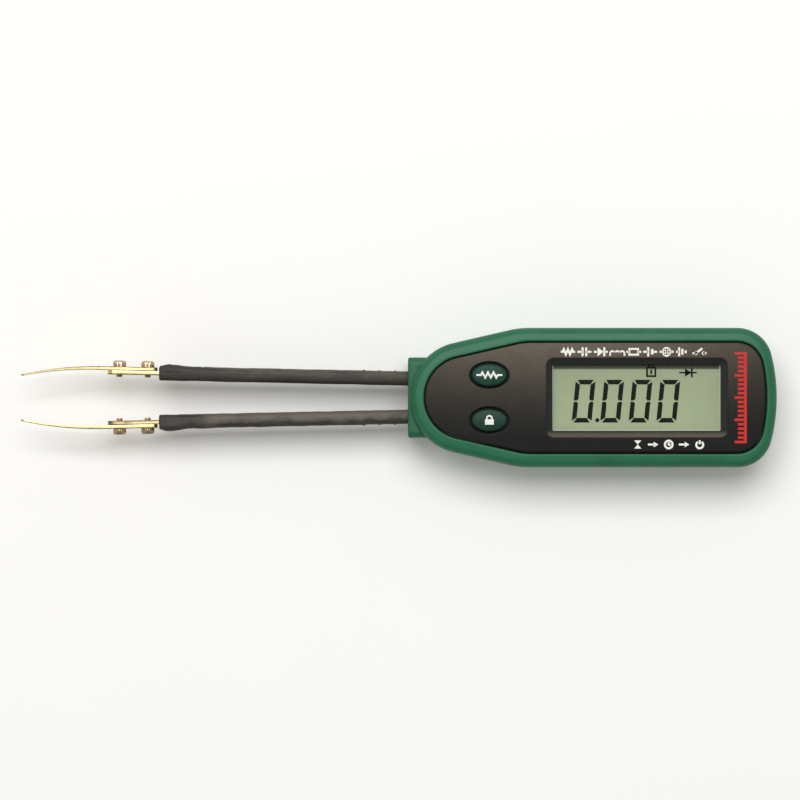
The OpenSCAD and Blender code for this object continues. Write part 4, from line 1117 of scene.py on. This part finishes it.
def sleeve_mesh(sizes, side):
    """Shrink sleeve: a rounded section that gets lower towards its mouth. Its skin is moved along the section's
    normals by a swelling at the mouth, narrow slanted creases, three small ridges by the collar and slow ripples.
    It turns in at the mouth round the strip. The stored value, a mask for painted light, goes from 0 at the side
    of the hold button to 1 at that of the function button, the lamp's side, and fades to the mouth."""
    count = 72
    turn_in = MOUTH + 0.5
    x = np.concatenate([
        np.linspace(SLEEVE_ROOT, -16, 90), np.linspace(-16, -50, 110)[1:], np.linspace(-50, turn_in, 120)[1:]
    ])
    share = (SLEEVE_ROOT - x) / (SLEEVE_ROOT - MOUTH)
    sections = np.stack([resampled(rounded(SLEEVE_WIDE, SLEEVE_HIGH - s, 1.3), count) for s in share])
    y, z, ny, nz = np.moveaxis(sections, -1, 0)
    u = np.repeat(x[:, None], count, axis=1)
    outer = np.clip(ny, 0, 1) ** 0.7
    random = np.random.default_rng(3 + side)
    ripple = np.zeros_like(u)
    for wave in (3.1, 4.7, 7.3, 11.9, 19.0):
        phase = random.integers(0, 3) * np.arctan2(z, y) + random.uniform(0, 6.3)
        ripple += 0.006 * math.sqrt(wave) * np.sin(2 * np.pi * u / wave + phase)
    push = ripple * np.clip((-8.0 - u) / 6.0, 0, 1)
    push += mm(sizes.bulge) * (1.0 if side == RIGHT else 1.2) * outer * bell(u, -62.5, 1.7, 3.4)
    push += 0.16 * mm(sizes.bulge) * outer * bell(u, -54.4, 2.6)
    push += 0.12 * np.clip(nz, 0, 1) * bell(u, -60.5, 3.0)
    for middle, lean, depth, width in CREASES[side]:
        fold = bell(u - lean * z - 0.4 * y, middle, width, 1.6 * width)
        push -= mm(sizes.crease) * depth * fold * (0.35 + 0.65 * outer)
    for middle in (-15.68, -11.89, -8.17):
        push += mm(sizes.ridge) * outer * bell(u, middle, 0.24)
    rings = list(np.stack([u, y + push * ny, z + push * nz], -1))
    last = rings[-1][:, 1:]
    for back in np.radians(np.linspace(15, 90, 6)):
        pulled = last - 0.42 * (1 - math.cos(back)) * np.column_stack([ny[-1], nz[-1]])
        rings.append(np.column_stack([np.full(count, turn_in - 0.5 * math.sin(back)), pulled]))
    opening = resampled(rounded(1.34, 6.7, 0.4), count)[:, :2] + [0, last[:, 1].mean()]
    for depth in (0.02, 0.35, 2.2):
        rings.append(np.column_stack([np.full(count, MOUTH + depth), opening]))
    rings = np.stack(rings)
    # Mask for painted light: 1 on the sleeve's side towards the lamp, fading to the mouth
    rub = (0.5 + side * rings[..., 1] / SLEEVE_WIDE) * np.clip((rings[..., 0] - MOUTH) / 16.0, 0.1, 1)
    return arm_mesh("sleeve", rings, side, "rub", rub)


def near_edge(across, high):
    """1 within 0.2 mm of a flat part's upper and lower edges, falling to 0 at 0.45 mm."""
    return np.clip((np.abs(across) - high / 2 + 0.45) / 0.25, 0, 1)


def strip_mesh(sizes, side):
    """Spring strip: a flat section with rounded edges that gets lower at the neck and has a rounded end. The
    stored tone darkens the gold: it is 1 along its inner edge, as painted shade, and high all over the left
    strip's free end."""
    turn = np.radians(np.arange(0, 76, 12.5))
    stations = np.vstack([
        [(STRIP_ROOT, 6.0), (STRIP_ROOT - 0.1, 6.2), (-63.8, 6.2), (-64.0, 6.0), (-64.3, 5.0)],
        [(x, STRIP_HIGH) for x in (-64.5, *np.linspace(-65.5, -76.0, 8))],
        np.column_stack([-76.1 - 1.1 * np.sin(turn), STRIP_HIGH - 2.4 * (1 - np.cos(turn))]),
        [(STRIP_END, 2.6)],
    ])
    high = stations[:, 1:]
    sections = np.stack([resampled(rounded(STRIP_T, h, mm(sizes.edge_round)), FLAT_POINTS) for h in high[:, 0]])
    across, upward = sections[..., 0], sections[..., 1]
    x = np.repeat(stations[:, :1], FLAT_POINTS, axis=1)
    tones = np.clip((-across - 0.02) / 0.25, 0, 1)
    if side == LEFT:
        tones = np.maximum(tones, 0.75 * np.clip((-70.0 - x) / 0.6, 0, 1))
    return arm_mesh("strip", np.stack([x, across, upward], -1), side, "edge", tones * near_edge(upward, high))


def blade_mesh(sizes, side):
    """Tip blade: a rounded flat section carried along a centre line that is straight and then bends inwards on an
    arc. It thins and gets lower towards the point. The stored tone darkens the gold: it is 1 along both edges,
    wider along the outer one, as painted shade, and at the very point."""
    edge = mm(sizes.edge_round)
    root = MOUTH - 0.6
    straight = root - (POINT_X + CURVE)
    start = [0, 0.12, 0.4, 0.9]
    run = np.concatenate([start, np.linspace(1.5, straight, 14), straight + CURVE * np.linspace(0.03, 1, 40)])
    past = np.clip(run - straight, 0, None)
    turn = np.arcsin(past / CURVE_R)
    centre = np.stack([root - run, (STRIP_T + BLADE_T) / 2 - CURVE_R * (1 - np.cos(turn))], -1)
    sideways = np.stack([-np.sin(turn), np.cos(turn)], -1)
    taper_x = STRIP_END - 1
    high = STRIP_HIGH - 3.9 * np.clip((taper_x - centre[:, 0]) / (taper_x - POINT_X), 0, 1)
    high *= np.interp(run, start, [0.72, 0.84, 0.94, 1.0])
    near_end = np.clip((run - run[-1] + 0.35) / 0.35, 0, 1)
    squeeze = np.sqrt(np.clip(1 - 0.85 * near_end ** 2, 0, 1))
    thick, high = (BLADE_T - 0.54 * past / CURVE) * squeeze, high * squeeze
    rings, tones = [], []
    for at, outwards, t, h in zip(centre, sideways, thick, high):
        section = resampled(rounded(t, h, min(edge, 0.42 * t, 0.42 * h)), FLAT_POINTS)
        rings.append(np.column_stack([at + section[:, :1] * outwards, section[:, 1]]))
        place = section[:, 0] / (t / 2)
        shade_and_tone = np.clip(np.where(place > 0, (place - 0.35) / 0.3, (-place - 0.75) / 0.5), 0, 1)
        tones.append(shade_and_tone * near_edge(section[:, 1], h))
    tones = np.maximum(tones, np.clip((run - run[-1] + 1.6) / 1.4, 0, 1)[:, None])
    return arm_mesh("blade", np.stack(rings), side, "edge", tones)


# ---------------------------------------------------------------- operators

class TESTER_OT_case(bpy.types.Operator):
    """Build the two case halves and the battery cover"""
    bl_idname = "tester.case"
    bl_label = "Case"

    def execute(self, context):
        sizes = context.scene.tester_case
        green = moulded("case green", context.scene.tester_colours.case, shadow=front_shadow)
        piece("top_case_shell", top_case_mesh(sizes), green, "housing", ["top_case"])
        piece("bottom_case_shell", bottom_case_mesh(sizes), green, "housing", ["bottom_case"])
        piece("battery_lid", cover_mesh(), green, "housing", ["battery_cover"])
        return {"FINISHED"}


class TESTER_OT_faceplate(bpy.types.Operator):
    """Build the faceplate and the marks printed on it"""
    bl_idname = "tester.faceplate"
    bl_label = "Faceplate"

    def execute(self, context):
        tint, face = context.scene.tester_colours, level_face(PLATE_TOP)
        dark = plate_finish("faceplate dark", tint.plate, tint.painted_reflection)
        white = printed("white print", tint.ink)
        red = printed("red print", tint.red)
        piece("faceplate_panel", faceplate_mesh(context.scene.tester_case), dark, "housing", ["faceplate"])
        marks = symbol_row(38.8, 10.95, 3.93, 0.5, face) + rest_marks(55.6, -11.2, 3.7, 0.48, face)
        piece("plate_symbols", together(marks), white, "housing", flat_weight=False)
        scale = red_scale(81.9, -10.9, 10.9, 2.6, face)
        piece("rear_scale", together(scale), red, "housing", flat_weight=False)
        return {"FINISHED"}


class TESTER_OT_display(bpy.types.Operator):
    """Build the display glass, its segments and the clear window over it"""
    bl_idname = "tester.display"
    bl_label = "Display"

    def execute(self, context):
        tint = context.scene.tester_colours
        grey = display_finish("display grey green", tint.lcd)
        black = moulded("display segments", tint.segment, 0.35, 0.08, 0.004, gloss=0.1)
        clear = clear_pane("clear pane")
        glass = slab(rounded(*GLASS), GLASS_LOW, GLASS_TOP, 0.18)
        window = slab(view_outline(0.95), WINDOW_LOW, WINDOW_TOP, 0.12)
        piece("display_panel", glass, grey, "housing", ["display_glass"])
        piece("display_segments", display_marks(), black, "housing", flat_weight=False)
        piece("display_pane", window, clear, "housing", ["display_window"])
        return {"FINISHED"}


class TESTER_OT_buttons(bpy.types.Operator):
    """Build the two oval caps and the signs on them"""
    bl_idname = "tester.buttons"
    bl_label = "Buttons"

    def execute(self, context):
        sizes, tint = context.scene.tester_case, context.scene.tester_colours
        soft = moulded("button green", tint.button, 0.5, 0.42, 0.03, 0.35, 0.2, 0.7, cap_shadow)
        white = printed("button print", tint.ink)
        for name, side, sign, body in (
            ("function", RIGHT, zigzag_mark, "function_key"), ("hold", LEFT, lock_mark, "hold_key"),
        ):
            piece(name + "_cap", cap_surface(sizes, side), soft, body, [name + "_button"])
            marks = together(sign(BUTTON[0], side * BUTTON[1], cap_height(sizes, side)))
            piece(name + "_sign", marks, white, body, flat_weight=False)
        return {"FINISHED"}


class TESTER_OT_arms(bpy.types.Operator):
    """Build the sleeves, the spring strips, the tip blades and their screws"""
    bl_idname = "tester.arms"
    bl_label = "Arms"

    def execute(self, context):
        sizes, tint = context.scene.tester_arms, context.scene.tester_colours
        # The dark second colours go where the stored tone is high: painted shade along the edges of the strips and
        # blades
        strip = plated("strip gold", tint.gold, (0.15, 0.12, 0.06), 0.24)
        gold = plated("tip gold", tint.gold, (0.09, 0.066, 0.03), 0.26)
        bronze = metal("screw bronze", tint.bronze, 0.2, (0.2, 2.0), 0.01, 0.75)
        seat = STRIP_T / 2 + BLADE_T
        for name, side in (("right", RIGHT), ("left", LEFT)):
            body = name + "_arm"
            rubber = sleeve_finish("sleeve black " + name, tint.sleeve, 0.3 if side == RIGHT else 1.0)
            piece(name + "_sleeve_skin", sleeve_mesh(sizes, side), rubber, body, [name + "_sleeve"],
                  angle=60, flat_weight=False)
            piece(name + "_spring_strip", strip_mesh(sizes, side), strip, body, [name + "_strip"])
            piece(name + "_blade", blade_mesh(sizes, side), gold, body, [name + "_tip"], angle=50)
            places = [(SIDEWAYS, (x, seat, 0), side) for x in SCREW_AT]
            screws = screw_mesh(places, 1.6, 1.5, 0.8, 2.5, flutes=14, pitch=0.35)
            piece(name + "_blade_screws", screws, bronze, body, [name + "_tip_screws"], angle=28)
        return {"FINISHED"}


class TESTER_OT_back(bpy.types.Operator):
    """Build the label and the screws of the back"""
    bl_idname = "tester.back"
    bl_label = "Back"

    def execute(self, context):
        steel = metal("screw steel", (0.56, 0.56, 0.57), 0.3, (0.2, 2.0), 0.008, 0.35)
        satin = metal("label satin", (0.62, 0.63, 0.62), 0.42, (0.15, 8.0), 0.004, 0.12)
        label = slab(rounded(*LABEL), 0.05, 0.3, 0.04)
        screws = screw_mesh([(DOWN, (x, y, SEAT), 0) for x, y in POSTS], 1.9, 1.4, 1.1, 10.4, pitch=0.5)
        lid_screw = screw_mesh([(DOWN, (COVER_SCREW_X, 0, COVER_SEAT), 0)], 1.6, 0.5, 0.9, 3.1, pitch=0.4)
        piece("plain_label", label, satin, "housing", ["back_label"])
        piece("back_screws", screws, steel, "housing", ["case_screws"], angle=28)
        piece("lid_screw", lid_screw, steel, "housing", ["battery_cover_screw"], angle=28)
        return {"FINISHED"}


class TESTER_OT_inside(bpy.types.Operator):
    """Give the packed parts inside the case their finishes"""
    bl_idname = "tester.inside"
    bl_label = "Inside"

    def execute(self, context):
        black = moulded("black plastic", (0.02, 0.02, 0.021), 0.5, 0.2, 0.015)
        steel = metal("bright steel", (0.62, 0.62, 0.63), 0.26)
        finishes = {
            "display_holder": moulded("holder white", (0.72, 0.72, 0.70), 0.5, 0.2, 0.01, 0.04),
            "front_contact_strip": layered("contact layers", (0.60, 0.30, 0.36), (0.03, 0.03, 0.03)),
            "circuit_board": board_finish("board green", (0.012, 0.13, 0.045)),
            "main_chip": moulded("chip black", (0.022, 0.022, 0.024), 0.44, 0.1, 0.01),
            "board_parts": moulded("ceramic parts", (0.48, 0.37, 0.24), 0.4, 0.3, 0.008, 0.3),
            "function_plunger": black,
            "function_switch": steel,
            "coin_cell": metal("cell nickel", (0.66, 0.66, 0.66), 0.3, (0.3, 4.0), 0.006, 0.2),
            "battery_spring": metal("spring plating", (0.72, 0.66, 0.48), 0.24),
            "board_screws": metal("small screws", (0.56, 0.56, 0.57), 0.3),
            "arm_block": moulded("block white", (0.74, 0.73, 0.69), 0.5, 0.25, 0.015, 0.05),
            "left_terminal": metal("terminal brass", (0.80, 0.58, 0.25), 0.25, tarnish=0.4),
            "left_lead": moulded("lead black", (0.02, 0.02, 0.02), 0.42, 0.3, 0.006),
            "right_lead": moulded("lead red", (0.42, 0.02, 0.015), 0.42, 0.3, 0.006),
        }
        same = {
            "rear_contact_strip": "front_contact_strip", "hold_plunger": "function_plunger",
            "hold_switch": "function_switch", "battery_side_contact": "battery_spring",
            "terminal_screws": "board_screws", "right_terminal": "left_terminal",
        }
        for name in list(finishes) + list(same):
            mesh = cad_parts[name].data
            mesh.materials.clear()
            mesh.materials.append(finishes[same.get(name, name)])
        return {"FINISHED"}


class TESTER_OT_stage(bpy.types.Operator):
    """Build the floor, the lamp, the surroundings and the camera"""
    bl_idname = "tester.stage"
    bl_label = "Stage"

    def execute(self, context):
        scene, light = context.scene, context.scene.tester_light
        base = scene.tester_colours.floor
        finish = Finish("floor pale", Specular_IOR_Level=0.1)
        paper = finish.noise(30.0, 3.0)
        pale = finish.set(
            Base_Color=finish.blend(finish.span(paper, 0.3, 0.7), shade(base, 0.995), base),
            Roughness=0.8 + 0.05 * paper,
            Emission_Color=light.glow * finish.ray("Camera"),
            Emission_Strength=1.0,
        )
        corners = ((-1, -1), (1, -1), (1, 1), (-1, 1))
        half_size, low, high = 1500.0, -5.0, -0.05
        floor = bpy.data.objects.new("floor", mesh_of("floor", skin([
            [(half_size * x, half_size * y, z) for x, y in corners] for z in (low, high)
        ])))
        floor.data.materials.append(pale)
        scene.collection.objects.link(floor)

        # Even light from all sides, a white surrounding for what looks at it directly or through
        # glass, and one that falls off away from the lamp for what mirrors it
        scene.world = bpy.data.worlds.new("surroundings")
        around = Graph(scene.world)
        direct = around.maths("MAXIMUM", around.ray("Camera"), around.ray("Transmission"))
        spot = around.add("ShaderNodeTexCoord", out="Generated")
        toward = around.add("ShaderNodeSeparateXYZ", None, {0: spot}, out=Y)
        mirror = around.span(toward, -0.5, 0.5, 0.3, 0.95)
        strength = light.sky + around.ray("Glossy") * (mirror - light.sky)
        sky = around.add("ShaderNodeBackground", None, {
            "Color": around.blend(direct, (1.0, 0.978, 0.89), (1.0, 1.0, 1.0)),
            "Strength": strength + direct * (1 - strength),
        })
        around.node("ShaderNodeOutputWorld", None, {"Surface": sky})

        distance, height, turn = 1.3, math.radians(69), math.radians(95)
        lamp = bpy.data.lights.new("softbox", "AREA")
        lamp.shape = "RECTANGLE"
        lamp.size, lamp.size_y = 0.9, 0.66
        lamp.color = (1.0, 0.993, 0.978)
        # Power at which a level white surface at the object receives the key's share of the light
        lamp.energy = math.pi ** 2 * light.key * distance ** 2 / math.sin(height)
        softbox = bpy.data.objects.new("softbox", lamp)
        scene.collection.objects.link(softbox)
        softbox.location = (
            distance * math.cos(height) * math.cos(turn),
            distance * math.cos(height) * math.sin(turn),
            distance * math.sin(height),
        )
        softbox.rotation_euler = (math.pi / 2 - height, 0, turn + math.pi / 2)

        camera = bpy.data.cameras.new("camera")
        camera.sensor_width = 36
        above, field = 1.0, 0.192
        camera.lens = camera.sensor_width * above / field
        camera.clip_end = 20
        viewer = bpy.data.objects.new("camera", camera)
        viewer.location = (0.00064, -0.00057, above + 0.015)
        scene.collection.objects.link(viewer)
        scene.camera = viewer

        scene.view_settings.view_transform = "Standard"
        return {"FINISHED"}


class TESTER_PT_panel(bpy.types.Panel):
    """The tester's builders and their values"""
    bl_idname = "TESTER_PT_panel"
    bl_label = "Component tester"
    bl_space_type = "VIEW_3D"
    bl_region_type = "UI"
    bl_category = "Tester"

    def draw(self, context):
        for builder in BUILDERS:
            self.layout.operator(builder.bl_idname)
        for name, group in VALUES.items():
            box = self.layout.box()
            box.label(text=group.__doc__)
            for field in group.__annotations__:
                box.prop(getattr(context.scene, name), field)


BUILDERS = (
    TESTER_OT_case, TESTER_OT_faceplate, TESTER_OT_display, TESTER_OT_buttons, TESTER_OT_arms, TESTER_OT_back,
    TESTER_OT_inside, TESTER_OT_stage,
)
VALUES = {
    "tester_case": TesterCase, "tester_arms": TesterArms, "tester_colours": TesterColours,
    "tester_light": TesterLight,
}


def register():
    for kind in (*VALUES.values(), *BUILDERS, TESTER_PT_panel):
        bpy.utils.register_class(kind)
    for name, group in VALUES.items():
        setattr(bpy.types.Scene, name, PointerProperty(type=group))


def unregister():
    for name in VALUES:
        delattr(bpy.types.Scene, name)
    for kind in reversed((*VALUES.values(), *BUILDERS, TESTER_PT_panel)):
        bpy.utils.unregister_class(kind)


def main():
    register()
    for builder in BUILDERS:
        group, name = builder.bl_idname.split(".")
        getattr(getattr(bpy.ops, group), name)()
    bpy.context.view_layer.update()


if __name__ == "__main__":
    main()
